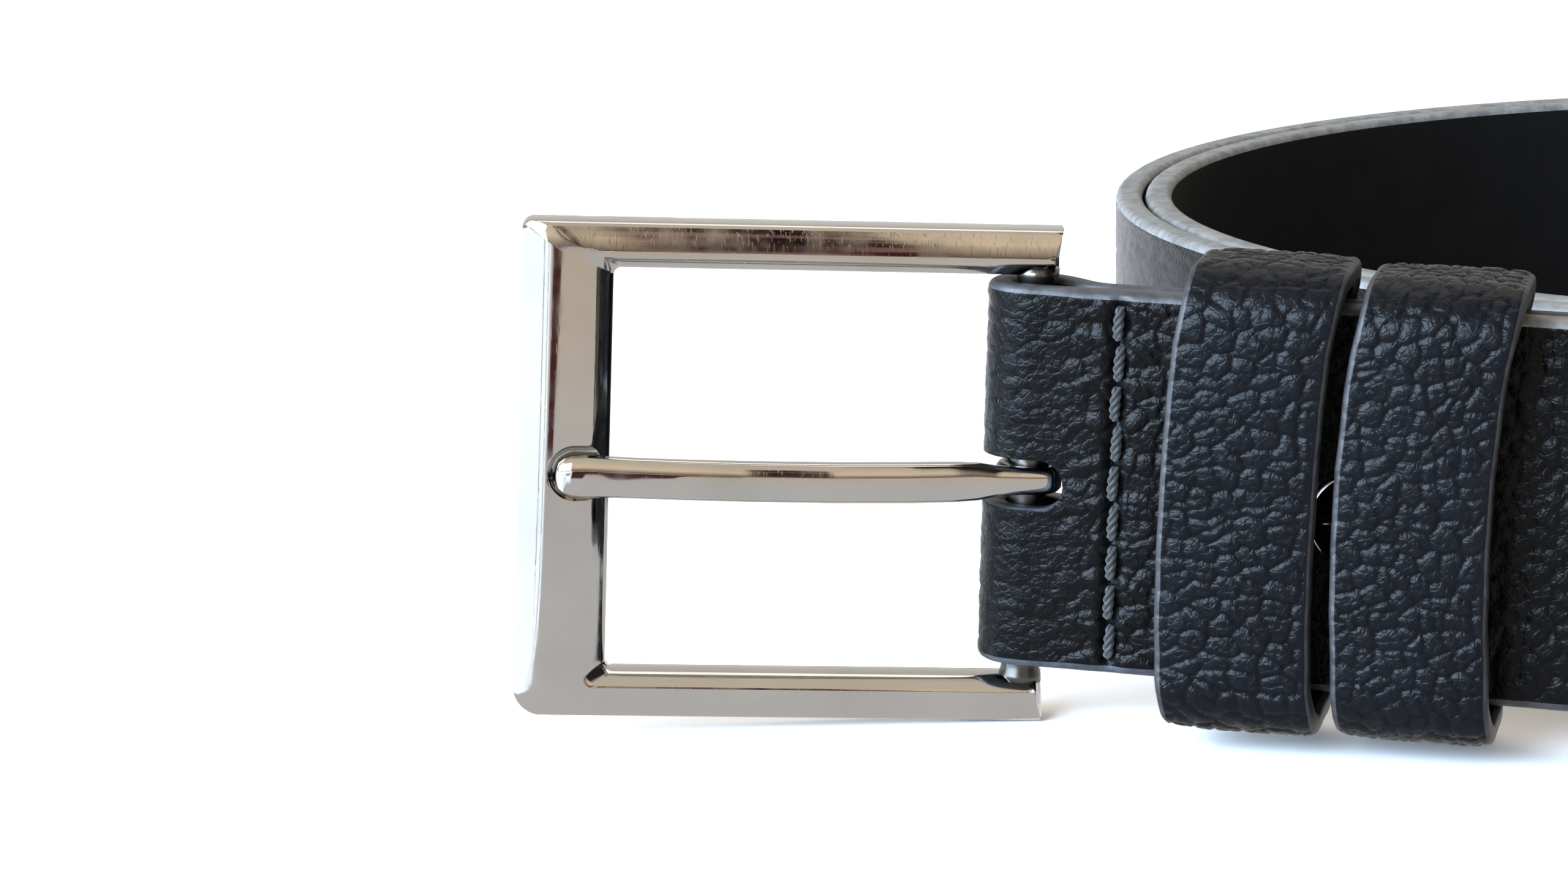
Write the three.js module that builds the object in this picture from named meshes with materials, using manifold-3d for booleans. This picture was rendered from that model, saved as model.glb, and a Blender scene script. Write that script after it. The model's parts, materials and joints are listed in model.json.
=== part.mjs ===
// Leather dress belt with a heel-bar buckle: a rolled strap standing on its edge, a folded and stitched
// buckle end, two keeper loops, a post-and-screw fastener, a one-piece chrome frame and its tongue.
// Millimetres, +Z up. +X runs along the front of the strap, the buckle is at -X, the coil lies at +Y.
import * as THREE from "three";
import { mergeVertices } from "three/addons/utils/BufferGeometryUtils.js";
import Module from "manifold-3d";

const wasm = await Module();
wasm.setup();

// Strap
const STRAP_WIDTH = 35;
const STRAP_THICK = 2.9;
const STRAP_EDGE_ROUND = 0.6;
const FOLD_THICK = 2.05;
const TURN_BACK_THICK = 1.5;
const TURN_BACK_END = 54;
const TURN_BACK_MEETS = 12.5;
const LAYER_GAP = 0.35;

// Roll, seen from above
const COIL_CENTRE = new THREE.Vector2(83.2, 113.7);
const COIL_RADIUS = 88.1;
const STEPS_PER_TURN = 52;
const TIP_ANGLE = 2 * Math.PI * 2 + 0.55;
const SPLIT_FRONT_X = 62;
const TIP_LENGTH = 20;

// Climb of the strap's front stretch towards the buckle
const CLIMB = THREE.MathUtils.degToRad(2.08);
const BUCKLE_RISE = 6.2;

// Holes near the tip
const HOLE_COUNT = 5;
const HOLE_PITCH = 25;
const FIRST_HOLE_FROM_TIP = 100;
const HOLE_RADIUS = 1.9;

// Fold, slot and stitching
const BAR_X = 5;
const BAR_Y = 4.2;
const BAR_RADIUS = 1.75;
const BAR_CLEARANCE = 0.35;
const SLOT_HEIGHT = 4.6;
const SLOT_DROP = 0.6;
const SLOT_FRONT_END = 8.9;
const SLOT_BACK_END = 9.8;
const STITCH_X = 13.5;
const STITCH_COUNT = 9;
const STITCH_PITCH = 3.65;
const THREAD_RADIUS = 0.42;
const GROOVE_DEPTH = 0.75;

// Keeper loops
const LOOP_WIDTH = 13.7;
const LOOP_THICK = 2.0;
const LOOP_FRONT = -7.7;
const LOOP_BACK = 8.1;
const LOOP_HEIGHTS = [41.6, 40.7];
const LOOP_STARTS = [19.4, 34.7];
const LOOP_OFFSET_Z = 0.4;
const LOOP_CORNER = 4.6;

// Post and screw
const SCREW_X = 35.4;
const SCREW_Z = -1.6;
const SCREW_HEAD_RADIUS = 4.3;
const POST_FLANGE_RADIUS = 3.0;
const POST_RADIUS = 2.2;
const SCREW_RADIUS = 1.4;
const POST_HOLE_RADIUS = 2.5;

// Buckle frame; x is measured from the heel bar's axis, towards the strap
const FRAME_SWING = THREE.MathUtils.degToRad(18.5);
const FRAME_TILT = THREE.MathUtils.degToRad(0.74);
const FRAME_DROP = 0.6;
const FRAME_TOE_X = -46.4;
const FRAME_HEEL_X = 2.2;
const FRAME_HEIGHT = 45.6;
const WINDOW_HEIGHT = 37.2;
const TOE_BAR_WIDTH = 8.3;
const FRAME_DEPTH = 4.4;
const FRAME_EDGE = 1.3;
const NOTCH_HEIGHT = 6.0;
const NOTCH_DEPTH = 0.9;

// Tongue
const TONGUE_HEIGHT = 3.7;
const NECK_HEIGHT = 2.4;
const EYE_RADIUS = 3.0;
const TONGUE_TIP_X = -43.0;

const chrome = new THREE.MeshStandardMaterial({ color: 0xc9c6c0, roughness: 0.12, metalness: 1 });
const leather = new THREE.MeshStandardMaterial({ color: 0x1c1f25, roughness: 0.5, metalness: 0 });
const keeperLeather = new THREE.MeshStandardMaterial({ color: 0x1f242c, roughness: 0.5, metalness: 0 });
const thread = new THREE.MeshStandardMaterial({ color: 0x15171b, roughness: 0.75, metalness: 0 });
const steel = new THREE.MeshStandardMaterial({ color: 0x9a9a98, roughness: 0.3, metalness: 1 });

function toSolid(geometry) {
  const bare = geometry.clone();
  bare.deleteAttribute("normal");
  bare.deleteAttribute("uv");
  const merged = mergeVertices(bare, 1e-4);
  const mesh = new wasm.Mesh({
    numProp: 3,
    vertProperties: merged.attributes.position.array,
    triVerts: new Uint32Array(merged.index.array),
  });
  return new wasm.Manifold(mesh);
}

function toGeometry(solid) {
  const mesh = solid.getMesh();
  const geometry = new THREE.BufferGeometry();
  geometry.setAttribute("position", new THREE.BufferAttribute(mesh.vertProperties, 3));
  geometry.setIndex(new THREE.BufferAttribute(mesh.triVerts, 1));
  geometry.computeVertexNormals();
  return geometry;
}

function cut(geometry, cutters) {
  let solid = toSolid(geometry);
  for (const cutter of cutters) {
    solid = solid.subtract(toSolid(cutter));
  }
  return toGeometry(solid);
}

// Rigid frame of the climbing front stretch: local x along the strap, z across it from the mid-line.
const frontMatrix = new THREE.Matrix4()
  .makeTranslation(0, 0, STRAP_WIDTH / 2 + BUCKLE_RISE)
  .multiply(new THREE.Matrix4().makeRotationY(CLIMB));

// One station of the strap: a point of the mid-thickness line, the unit vector out of the grain face,
// the unit vector across the strap, the thickness and the half width there.
function frontStation(x, y, outX, outY, thick) {
  const point = new THREE.Vector3(x, y, 0).applyMatrix4(frontMatrix);
  const out = new THREE.Vector3(outX, outY, 0).transformDirection(frontMatrix);
  const up = new THREE.Vector3(0, 0, 1).transformDirection(frontMatrix);
  return { point, out, up, thick, half: STRAP_WIDTH / 2 };
}

// Smooth step from 0 to 1 between two limits.
function ramp(value, low, high) {
  return THREE.MathUtils.smootherstep(value, low, high);
}

// Turned-back layer, wrap round the heel bar and front layer, up to the split in the front stretch.
function foldStations() {
  const stations = [];
  const wrapRadius = BAR_RADIUS + BAR_CLEARANCE + FOLD_THICK / 2;
  const backY = STRAP_THICK + LAYER_GAP + TURN_BACK_THICK / 2;
  const wrapBackY = BAR_Y + wrapRadius;
  for (const x of [TURN_BACK_END, 44, 36, 28, 20, 15]) {
    stations.push(frontStation(x, backY, 0, 1, TURN_BACK_THICK));
  }
  for (let i = 0; i <= 6; i += 1) {
    const x = TURN_BACK_MEETS - ((TURN_BACK_MEETS - BAR_X) * i) / 6;
    const blend = ramp(i / 6, 0, 1);
    const y = THREE.MathUtils.lerp(backY, wrapBackY, blend);
    const thick = THREE.MathUtils.lerp(TURN_BACK_THICK, FOLD_THICK, blend);
    stations.push(frontStation(x, y, 0, 1, thick));
  }
  for (let i = 1; i < 12; i += 1) {
    const angle = Math.PI / 2 + (Math.PI * i) / 12;
    const outX = Math.cos(angle);
    const outY = Math.sin(angle);
    const x = BAR_X + wrapRadius * outX;
    const y = BAR_Y + wrapRadius * outY;
    stations.push(frontStation(x, y, outX, outY, FOLD_THICK));
  }
  for (let i = 0; i <= 5; i += 1) {
    const x = BAR_X + (12 * i) / 5;
    const blend = ramp(x, BAR_X, BAR_X + 12);
    const thick = THREE.MathUtils.lerp(FOLD_THICK, STRAP_THICK, blend);
    stations.push(frontStation(x, BAR_Y - wrapRadius - FOLD_THICK / 2 + thick / 2, 0, -1, thick));
  }
  for (const x of [24, 32, 42, 52, SPLIT_FRONT_X]) {
    stations.push(frontStation(x, STRAP_THICK / 2, 0, -1, STRAP_THICK));
  }
  return stations;
}

// Mid-line of the roll. Turn angle 0 is the front, then right, back and left; the strap comes in from
// the front stretch on a wider curve and steps inwards by one layer in each later turn.
function coilPoint(turn) {
  const pitch = STRAP_THICK + LAYER_GAP;
  const settled = COIL_RADIUS - STRAP_THICK / 2;
  const lead = (COIL_CENTRE.y - STRAP_THICK / 2 - settled) * (1 - ramp(turn, 0, Math.PI * 1.1));
  const firstStep = pitch * ramp(turn, Math.PI * 1.9, Math.PI * 2.6);
  const secondStep = pitch * ramp(turn, Math.PI * 3.85, Math.PI * 4.4);
  const radius = settled + lead - firstStep - secondStep;
  return new THREE.Vector2(
    COIL_CENTRE.x + radius * Math.sin(turn),
    COIL_CENTRE.y - radius * Math.cos(turn),
  );
}

// Straight front stretch after the split, then the two turns to the tip.
function rollStations() {
  const plan = [];
  const frontY = STRAP_THICK / 2;
  const start = new THREE.Vector2(SPLIT_FRONT_X + LAYER_GAP, frontY);
  plan.push(start);
  const straightEnd = COIL_CENTRE.x;
  for (let i = 1; i <= 3; i += 1) {
    plan.push(new THREE.Vector2(THREE.MathUtils.lerp(start.x, straightEnd, i / 4), frontY));
  }
  const straightCount = plan.length;
  const steps = Math.round((TIP_ANGLE / (2 * Math.PI)) * STEPS_PER_TURN);
  for (let i = 0; i <= steps; i += 1) {
    plan.push(coilPoint((TIP_ANGLE * i) / steps));
  }
  const lengths = [0];
  for (let i = 1; i < plan.length; i += 1) {
    lengths.push(lengths[i - 1] + plan[i].distanceTo(plan[i - 1]));
  }
  const total = lengths[lengths.length - 1];
  const slope = Math.tan(CLIMB);
  const endRise = BUCKLE_RISE - slope * COIL_CENTRE.x;
  const levelRun = (2 * endRise) / slope;
  return plan.map((point, i) => {
    const before = plan[Math.max(i - 1, 0)];
    const after = plan[Math.min(i + 1, plan.length - 1)];
    const along = after.clone().sub(before).normalize();
    const pastStraight = lengths[i] - lengths[straightCount];
    const left = THREE.MathUtils.clamp(1 - pastStraight / levelRun, 0, 1);
    const tilt = CLIMB * left;
    const rise = pastStraight <= 0 ? BUCKLE_RISE - slope * point.x : endRise * left * left;
    const up = new THREE.Vector3(along.x * Math.sin(tilt), along.y * Math.sin(tilt), Math.cos(tilt));
    const out = new THREE.Vector3(along.y, -along.x, 0);
    const toTip = Math.max(total - lengths[i], 0.0);
    const round = Math.min(toTip / TIP_LENGTH, 1);
    const half = (STRAP_WIDTH / 2) * Math.max(0.12, Math.sqrt(1 - (1 - round) ** 2.4));
    return {
      point: new THREE.Vector3(point.x, point.y, STRAP_WIDTH / 2 + rise),
      out,
      up,
      thick: STRAP_THICK,
      half,
      length: lengths[i],
      total,
      turn: (TIP_ANGLE * Math.max(i - straightCount, 0)) / steps,
    };
  });
}

// Closed solid swept along stations, with an eight-sided section whose corners are rounded off.
function sweep(stations) {
  const sides = [
    [-1, -1, 0, 1],
    [-1, 1, 0, -1],
    [-1, 1, 1, 0],
    [1, 1, -1, 0],
    [1, 1, 0, -1],
    [1, -1, 0, 1],
    [1, -1, -1, 0],
    [-1, -1, 1, 0],
  ];
  const points = [];
  for (const station of stations) {
    const round = Math.min(STRAP_EDGE_ROUND, station.thick * 0.3, station.half * 0.3);
    for (const [across, high, acrossIn, highIn] of sides) {
      const n = (across * station.thick) / 2 + acrossIn * round;
      const u = high * station.half + highIn * round;
      points.push(
        station.point
          .clone()
          .addScaledVector(station.out, n)
          .addScaledVector(station.up, u),
      );
    }
  }
  const count = sides.length;
  const index = [];
  for (let s = 0; s + 1 < stations.length; s += 1) {
    for (let k = 0; k < count; k += 1) {
      const a = s * count + k;
      const b = s * count + ((k + 1) % count);
      index.push(a, b, b + count, a, b + count, a + count);
    }
  }
  const last = (stations.length - 1) * count;
  for (let k = 1; k + 1 < count; k += 1) {
    index.push(0, k + 1, k);
    index.push(last, last + k, last + k + 1);
  }
  const geometry = new THREE.BufferGeometry().setFromPoints(points);
  geometry.setIndex(index);
  return facingOut(geometry);
}

// The same closed surface with its faces turned to point out.
function facingOut(geometry) {
  const position = geometry.attributes.position;
  const index = geometry.index.array;
  const a = new THREE.Vector3();
  const b = new THREE.Vector3();
  const c = new THREE.Vector3();
  let volume = 0;
  for (let i = 0; i < index.length; i += 3) {
    a.fromBufferAttribute(position, index[i]);
    b.fromBufferAttribute(position, index[i + 1]);
    c.fromBufferAttribute(position, index[i + 2]);
    volume += a.dot(b.clone().cross(c));
  }
  if (volume < 0) {
    for (let i = 0; i < index.length; i += 3) {
      [index[i + 1], index[i + 2]] = [index[i + 2], index[i + 1]];
    }
  }
  geometry.computeVertexNormals();
  return geometry;
}

function roundedRect(left, bottom, width, height, radius) {
  const shape = new THREE.Shape();
  shape.moveTo(left + radius, bottom);
  shape.lineTo(left + width - radius, bottom);
  shape.absarc(left + width - radius, bottom + radius, radius, -Math.PI / 2, 0, false);
  shape.lineTo(left + width, bottom + height - radius);
  shape.absarc(left + width - radius, bottom + height - radius, radius, 0, Math.PI / 2, false);
  shape.lineTo(left + radius, bottom + height);
  shape.absarc(left + radius, bottom + height - radius, radius, Math.PI / 2, Math.PI, false);
  shape.lineTo(left, bottom + radius);
  shape.absarc(left + radius, bottom + radius, radius, Math.PI, Math.PI * 1.5, false);
  return shape;
}

// A block from x0,y0,z0 to x1,y1,z1.
function block(x0, x1, y0, y1, z0, z1) {
  return new THREE.BoxGeometry(x1 - x0, y1 - y0, z1 - z0).translate(
    (x0 + x1) / 2,
    (y0 + y1) / 2,
    (z0 + z1) / 2,
  );
}

// A round rod along y, from y0 to y1.
function rodAlongY(x, z, y0, y1, radius, sides = 28) {
  return new THREE.CylinderGeometry(radius, radius, y1 - y0, sides).translate(x, (y0 + y1) / 2, z);
}

function addMesh(parent, name, geometry, material) {
  const mesh = new THREE.Mesh(geometry, material.clone());
  mesh.name = name;
  parent.add(mesh);
  return mesh;
}

const belt = new THREE.Group();
const front = new THREE.Group();
front.applyMatrix4(frontMatrix);
belt.add(front);

// Strap: the buckle end with its slot, stitch groove and post hole.
function strapFront() {
  const slotRadius = SLOT_HEIGHT / 2 - 0.01;
  const slotShape = (end) =>
    roundedRect(-3, -SLOT_DROP - SLOT_HEIGHT / 2, end + 3, SLOT_HEIGHT, slotRadius);
  const slotFront = new THREE.ExtrudeGeometry(slotShape(SLOT_FRONT_END), {
    depth: BAR_Y + 1,
    bevelEnabled: false,
    curveSegments: 8,
  });
  slotFront.rotateX(Math.PI / 2).translate(0, BAR_Y, 0);
  const slotBack = new THREE.ExtrudeGeometry(slotShape(SLOT_BACK_END), {
    depth: 7,
    bevelEnabled: false,
    curveSegments: 8,
  });
  slotBack.rotateX(Math.PI / 2).translate(0, BAR_Y + 6.8, 0);
  const groove = block(
    STITCH_X - 0.75,
    STITCH_X + 0.75,
    -1,
    GROOVE_DEPTH,
    -STRAP_WIDTH / 2 + 0.9,
    STRAP_WIDTH / 2 - 0.9,
  );
  const postHole = rodAlongY(SCREW_X, SCREW_Z, -2, 7, POST_HOLE_RADIUS);
  const cutters = [slotFront, slotBack, groove, postHole];
  return cut(
    sweep(foldStations()),
    cutters.map((cutter) => cutter.applyMatrix4(frontMatrix)),
  );
}

const roll = rollStations();
const turnSplit = roll.findIndex((station) => station.turn > Math.PI * 2.08);

// The station list between two indices, its first station moved on by the gap between pieces.
function stretch(first, last) {
  const list = roll.slice(first, last + 1);
  if (first > 0) {
    const head = list[0];
    const next = roll[first + 1];
    const step = next.point.clone().sub(head.point);
    const moved = head.point.clone().addScaledVector(step, LAYER_GAP / step.length());
    list[0] = { ...head, point: moved };
  }
  return list;
}

// Oval holes punched near the tip.
function punchHoles() {
  const cutters = [];
  for (let i = 0; i < HOLE_COUNT; i += 1) {
    const target = roll[0].total - FIRST_HOLE_FROM_TIP - i * HOLE_PITCH;
    const k = roll.findIndex((station) => station.length > target);
    const before = roll[k - 1];
    const after = roll[k];
    const share = (target - before.length) / (after.length - before.length);
    const point = before.point.clone().lerp(after.point, share);
    const out = before.out.clone().lerp(after.out, share).normalize();
    const punch = new THREE.CylinderGeometry(HOLE_RADIUS, HOLE_RADIUS, STRAP_THICK * 1.6, 20);
    const along = new THREE.Vector3().crossVectors(out, new THREE.Vector3(0, 0, 1));
    const basis = new THREE.Matrix4().makeBasis(along, out, new THREE.Vector3(0, 0, -1));
    if (basis.determinant() < 0) {
      basis.makeBasis(along, out, new THREE.Vector3(0, 0, 1));
    }
    punch.applyMatrix4(basis);
    punch.translate(point.x, point.y, point.z);
    cutters.push(punch);
  }
  return cutters;
}

addMesh(belt, "strap_front", strapFront(), leather);
addMesh(belt, "strap_outer_turn", sweep(stretch(0, turnSplit)), leather);
addMesh(
  belt,
  "strap_inner_turn",
  cut(sweep(stretch(turnSplit, roll.length - 1)), punchHoles()),
  leather,
);

// Stitching: one row of thick thread stitches on each side of the buckle end, joined by the thin
// run of thread between one stitch and the next.
function stitchRow(y) {
  const run = (STITCH_COUNT - 1) * STITCH_PITCH;
  const between = new THREE.CylinderGeometry(THREAD_RADIUS * 0.45, THREAD_RADIUS * 0.45, run, 6);
  let row = toSolid(between.rotateX(Math.PI / 2).translate(STITCH_X, y, 0));
  for (let i = 0; i < STITCH_COUNT; i += 1) {
    const z = (i - (STITCH_COUNT - 1) / 2) * STITCH_PITCH;
    const stitch = new THREE.CapsuleGeometry(THREAD_RADIUS, STITCH_PITCH - 1.5, 3, 8);
    stitch.rotateX(Math.PI / 2).translate(STITCH_X, y, z);
    row = row.add(toSolid(stitch));
  }
  return toGeometry(row);
}

addMesh(front, "stitching_front", stitchRow(GROOVE_DEPTH - 0.33 - THREAD_RADIUS), thread);
addMesh(
  front,
  "stitching_back",
  stitchRow(STRAP_THICK + LAYER_GAP + TURN_BACK_THICK + 0.3 + THREAD_RADIUS),
  thread,
);

// Keeper loops: closed leather bands with a staple across the lap at the back.
function keeperLoop(start, height) {
  const depth = LOOP_BACK - LOOP_FRONT;
  const shape = roundedRect(LOOP_FRONT, -height / 2, depth, height, LOOP_CORNER);
  shape.holes.push(
    roundedRect(
      LOOP_FRONT + LOOP_THICK,
      -height / 2 + LOOP_THICK,
      depth - 2 * LOOP_THICK,
      height - 2 * LOOP_THICK,
      LOOP_CORNER - LOOP_THICK,
    ),
  );
  const bevel = 0.35;
  const band = new THREE.ExtrudeGeometry(shape, {
    depth: LOOP_WIDTH - 2 * bevel,
    bevelSize: bevel,
    bevelThickness: bevel,
    bevelOffset: -bevel,
    bevelSegments: 1,
    curveSegments: 7,
  });
  // Shape x becomes depth (y), shape y becomes height (z), extrusion becomes the strap direction (x).
  const turn = new THREE.Matrix4().set(0, 0, 1, 0, 1, 0, 0, 0, 0, 1, 0, 0, 0, 0, 0, 1);
  return band.applyMatrix4(turn).translate(start + bevel, 0, LOOP_OFFSET_Z);
}

LOOP_STARTS.forEach((start, i) => {
  addMesh(front, `keeper_loop_${i + 1}`, keeperLoop(start, LOOP_HEIGHTS[i]), keeperLeather);
  const middle = start + LOOP_WIDTH / 2;
  const staple = block(middle - 4, middle + 4, LOOP_BACK + 0.3, LOOP_BACK + 0.9, -0.35, 0.35);
  addMesh(front, `keeper_staple_${i + 1}`, staple.translate(0, 0, LOOP_OFFSET_Z), steel);
});

// Screw with a low domed head, and the hollow post it turns into from behind.
function screwBody() {
  const profile = [
    new THREE.Vector2(0, -5.0),
    new THREE.Vector2(SCREW_RADIUS, -5.0),
    new THREE.Vector2(SCREW_RADIUS, 0),
    new THREE.Vector2(SCREW_HEAD_RADIUS, 0),
    new THREE.Vector2(SCREW_HEAD_RADIUS, 0.35),
    new THREE.Vector2(SCREW_HEAD_RADIUS - 0.35, 0.72),
    new THREE.Vector2(SCREW_HEAD_RADIUS - 1.4, 0.95),
    new THREE.Vector2(0, 1.05),
  ];
  const body = new THREE.LatheGeometry(profile, 28);
  body.translate(0, 0.3, 0);
  const driver = block(-0.45, 0.45, 0.85, 2, -6, 6);
  return cut(body, [driver]).rotateX(Math.PI).translate(SCREW_X, 0, SCREW_Z);
}

function postBody() {
  const near = LAYER_GAP + 0.4;
  const far = STRAP_THICK + LAYER_GAP + TURN_BACK_THICK + 0.3;
  const profile = [
    new THREE.Vector2(SCREW_RADIUS + 0.3, near),
    new THREE.Vector2(POST_RADIUS, near),
    new THREE.Vector2(POST_RADIUS, far),
    new THREE.Vector2(POST_FLANGE_RADIUS, far),
    new THREE.Vector2(POST_FLANGE_RADIUS, far + 0.75),
    new THREE.Vector2(0, far + 0.75),
    new THREE.Vector2(0, 5.4),
    new THREE.Vector2(SCREW_RADIUS + 0.3, 5.4),
    new THREE.Vector2(SCREW_RADIUS + 0.3, near),
  ];
  const body = facingOut(mergeVertices(bareLathe(profile, 28), 1e-4));
  return body.translate(SCREW_X, 0, SCREW_Z);
}

// Lathe without normals and texture coordinates, ready to have its seam merged.
function bareLathe(profile, sides) {
  const geometry = new THREE.LatheGeometry(profile, sides);
  geometry.deleteAttribute("normal");
  geometry.deleteAttribute("uv");
  return geometry;
}

addMesh(front, "screw", screwBody(), chrome);
addMesh(front, "screw_post", postBody(), steel);

// Buckle: one cast frame with its heel bar, turned a little towards the wearer's front.
const buckle = new THREE.Group();
buckle.position.set(BAR_X, BAR_Y, -FRAME_DROP);
buckle.rotation.set(0, FRAME_TILT, FRAME_SWING);
front.add(buckle);

function buckleFrame() {
  const length = FRAME_HEEL_X - FRAME_TOE_X;
  const outer = roundedRect(FRAME_TOE_X, -FRAME_HEIGHT / 2, length, FRAME_HEIGHT, 1.9);
  const windowLeft = FRAME_TOE_X + TOE_BAR_WIDTH;
  const open = roundedRect(windowLeft, -WINDOW_HEIGHT / 2, 60, WINDOW_HEIGHT, 0.8);
  const shell = new THREE.ExtrudeGeometry(outer, {
    depth: FRAME_DEPTH - 2 * FRAME_EDGE,
    bevelSize: FRAME_EDGE,
    bevelThickness: FRAME_EDGE,
    bevelOffset: -FRAME_EDGE,
    bevelSegments: 4,
    curveSegments: 5,
  });
  const cutter = new THREE.ExtrudeGeometry(open, {
    depth: FRAME_DEPTH + 4,
    bevelEnabled: false,
    curveSegments: 4,
  });
  // Shape y is height, so the extrusion turns to run along y.
  shell.translate(0, 0, FRAME_EDGE - FRAME_DEPTH / 2).rotateX(Math.PI / 2);
  cutter.translate(0, 0, -FRAME_DEPTH / 2 - 2).rotateX(Math.PI / 2);
  const bar = new THREE.LatheGeometry(
    [
      new THREE.Vector2(0, -WINDOW_HEIGHT / 2 - 1),
      new THREE.Vector2(BAR_RADIUS + 0.3, -WINDOW_HEIGHT / 2 - 1),
      new THREE.Vector2(BAR_RADIUS + 0.3, -WINDOW_HEIGHT / 2),
      new THREE.Vector2(BAR_RADIUS, -WINDOW_HEIGHT / 2 + 0.4),
      new THREE.Vector2(BAR_RADIUS, WINDOW_HEIGHT / 2 - 0.4),
      new THREE.Vector2(BAR_RADIUS + 0.3, WINDOW_HEIGHT / 2),
      new THREE.Vector2(BAR_RADIUS + 0.3, WINDOW_HEIGHT / 2 + 1),
      new THREE.Vector2(0, WINDOW_HEIGHT / 2 + 1),
    ],
    24,
  ).rotateX(Math.PI / 2);
  const notch = block(
    FRAME_TOE_X - 1,
    windowLeft + 2,
    -FRAME_DEPTH,
    -FRAME_DEPTH / 2 + NOTCH_DEPTH,
    -NOTCH_HEIGHT / 2,
    NOTCH_HEIGHT / 2,
  ).translate(2.6, 0, 0);
  const body = toSolid(shell).subtract(toSolid(cutter)).subtract(toSolid(notch));
  return toGeometry(body.add(toSolid(bar)));
}

// Tongue: a flat-sided prong with a rounded tip, a narrower neck and an eye round the heel bar.
function tongueBody() {
  const restY = -FRAME_DEPTH / 2 + NOTCH_DEPTH - 0.3;
  const side = new THREE.Shape();
  side.moveTo(1.9, -1.2);
  side.lineTo(1.9, -3.0);
  side.lineTo(-4.8, -3.5);
  side.bezierCurveTo(-15, -5.4, -28, -5.6, -36.5, -4.9);
  side.lineTo(TONGUE_TIP_X + 2.2, -4.7);
  side.bezierCurveTo(TONGUE_TIP_X + 0.6, -4.6, TONGUE_TIP_X, -4.1, TONGUE_TIP_X, -3.2);
  side.bezierCurveTo(TONGUE_TIP_X, -2.4, TONGUE_TIP_X + 0.5, restY, TONGUE_TIP_X + 1.6, restY);
  side.lineTo(-38.2, restY);
  side.lineTo(-36, -2.35);
  side.bezierCurveTo(-28, -3.0, -15, -3.0, -4.8, -1.5);
  side.lineTo(-2.6, -1.2);
  side.closePath();
  const shank = extrudeAcross(side, TONGUE_HEIGHT, 0.55);
  const eyeDisc = new THREE.CylinderGeometry(EYE_RADIUS, EYE_RADIUS, NECK_HEIGHT, 28);
  eyeDisc.rotateX(Math.PI / 2);
  const eyeHole = new THREE.CylinderGeometry(
    BAR_RADIUS + 0.3,
    BAR_RADIUS + 0.3,
    NECK_HEIGHT + 8,
    24,
  );
  eyeHole.rotateX(Math.PI / 2);
  const neckUpper = block(-4.7, 6, -6, 4, NECK_HEIGHT / 2, 6);
  const neckLower = block(-4.7, 6, -6, 4, -6, -NECK_HEIGHT / 2);
  const prong = toSolid(shank).subtract(toSolid(neckUpper)).subtract(toSolid(neckLower));
  return toGeometry(prong.add(toSolid(eyeDisc)).subtract(toSolid(eyeHole)));
}

// Extrudes a side view (x, y) over a height in z, centred on z = 0.
function extrudeAcross(shape, height, bevel) {
  const geometry = new THREE.ExtrudeGeometry(shape, {
    depth: height - 2 * bevel,
    bevelSize: bevel,
    bevelThickness: bevel,
    bevelOffset: -bevel,
    bevelSegments: 3,
    curveSegments: 8,
  });
  return geometry.translate(0, 0, bevel - height / 2);
}

addMesh(buckle, "buckle_frame", buckleFrame(), chrome);
addMesh(buckle, "tongue", tongueBody(), chrome);

// Origin: middle of the whole part's footprint, on the surface it stands on.
belt.updateMatrixWorld(true);
const extent = new THREE.Box3().setFromObject(belt, true);
belt.position.set(
  -(extent.min.x + extent.max.x) / 2,
  -(extent.min.y + extent.max.y) / 2,
  -extent.min.z,
);
belt.updateMatrixWorld(true);

const part = new THREE.Group();
part.add(belt);

export default part;
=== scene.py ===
"""Rolled leather dress belt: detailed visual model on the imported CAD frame. Metres, +Z up."""

import json
import math

import bmesh
import bpy
import numpy as np
from mathutils import Matrix, Vector


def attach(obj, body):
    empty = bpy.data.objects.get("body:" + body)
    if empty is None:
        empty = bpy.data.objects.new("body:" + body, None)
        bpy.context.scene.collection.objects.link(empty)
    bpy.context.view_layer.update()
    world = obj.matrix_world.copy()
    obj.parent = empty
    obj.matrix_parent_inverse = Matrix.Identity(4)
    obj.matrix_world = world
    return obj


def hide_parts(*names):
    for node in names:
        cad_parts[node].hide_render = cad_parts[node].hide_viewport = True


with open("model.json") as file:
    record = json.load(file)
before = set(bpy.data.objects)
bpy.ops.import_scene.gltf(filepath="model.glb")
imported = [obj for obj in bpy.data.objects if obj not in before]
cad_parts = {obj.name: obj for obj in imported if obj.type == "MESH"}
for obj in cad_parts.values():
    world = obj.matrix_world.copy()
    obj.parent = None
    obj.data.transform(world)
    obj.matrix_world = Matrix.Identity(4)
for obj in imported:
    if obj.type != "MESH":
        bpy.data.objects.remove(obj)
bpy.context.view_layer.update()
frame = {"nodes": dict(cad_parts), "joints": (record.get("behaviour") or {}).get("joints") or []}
MM = 0.001

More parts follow.
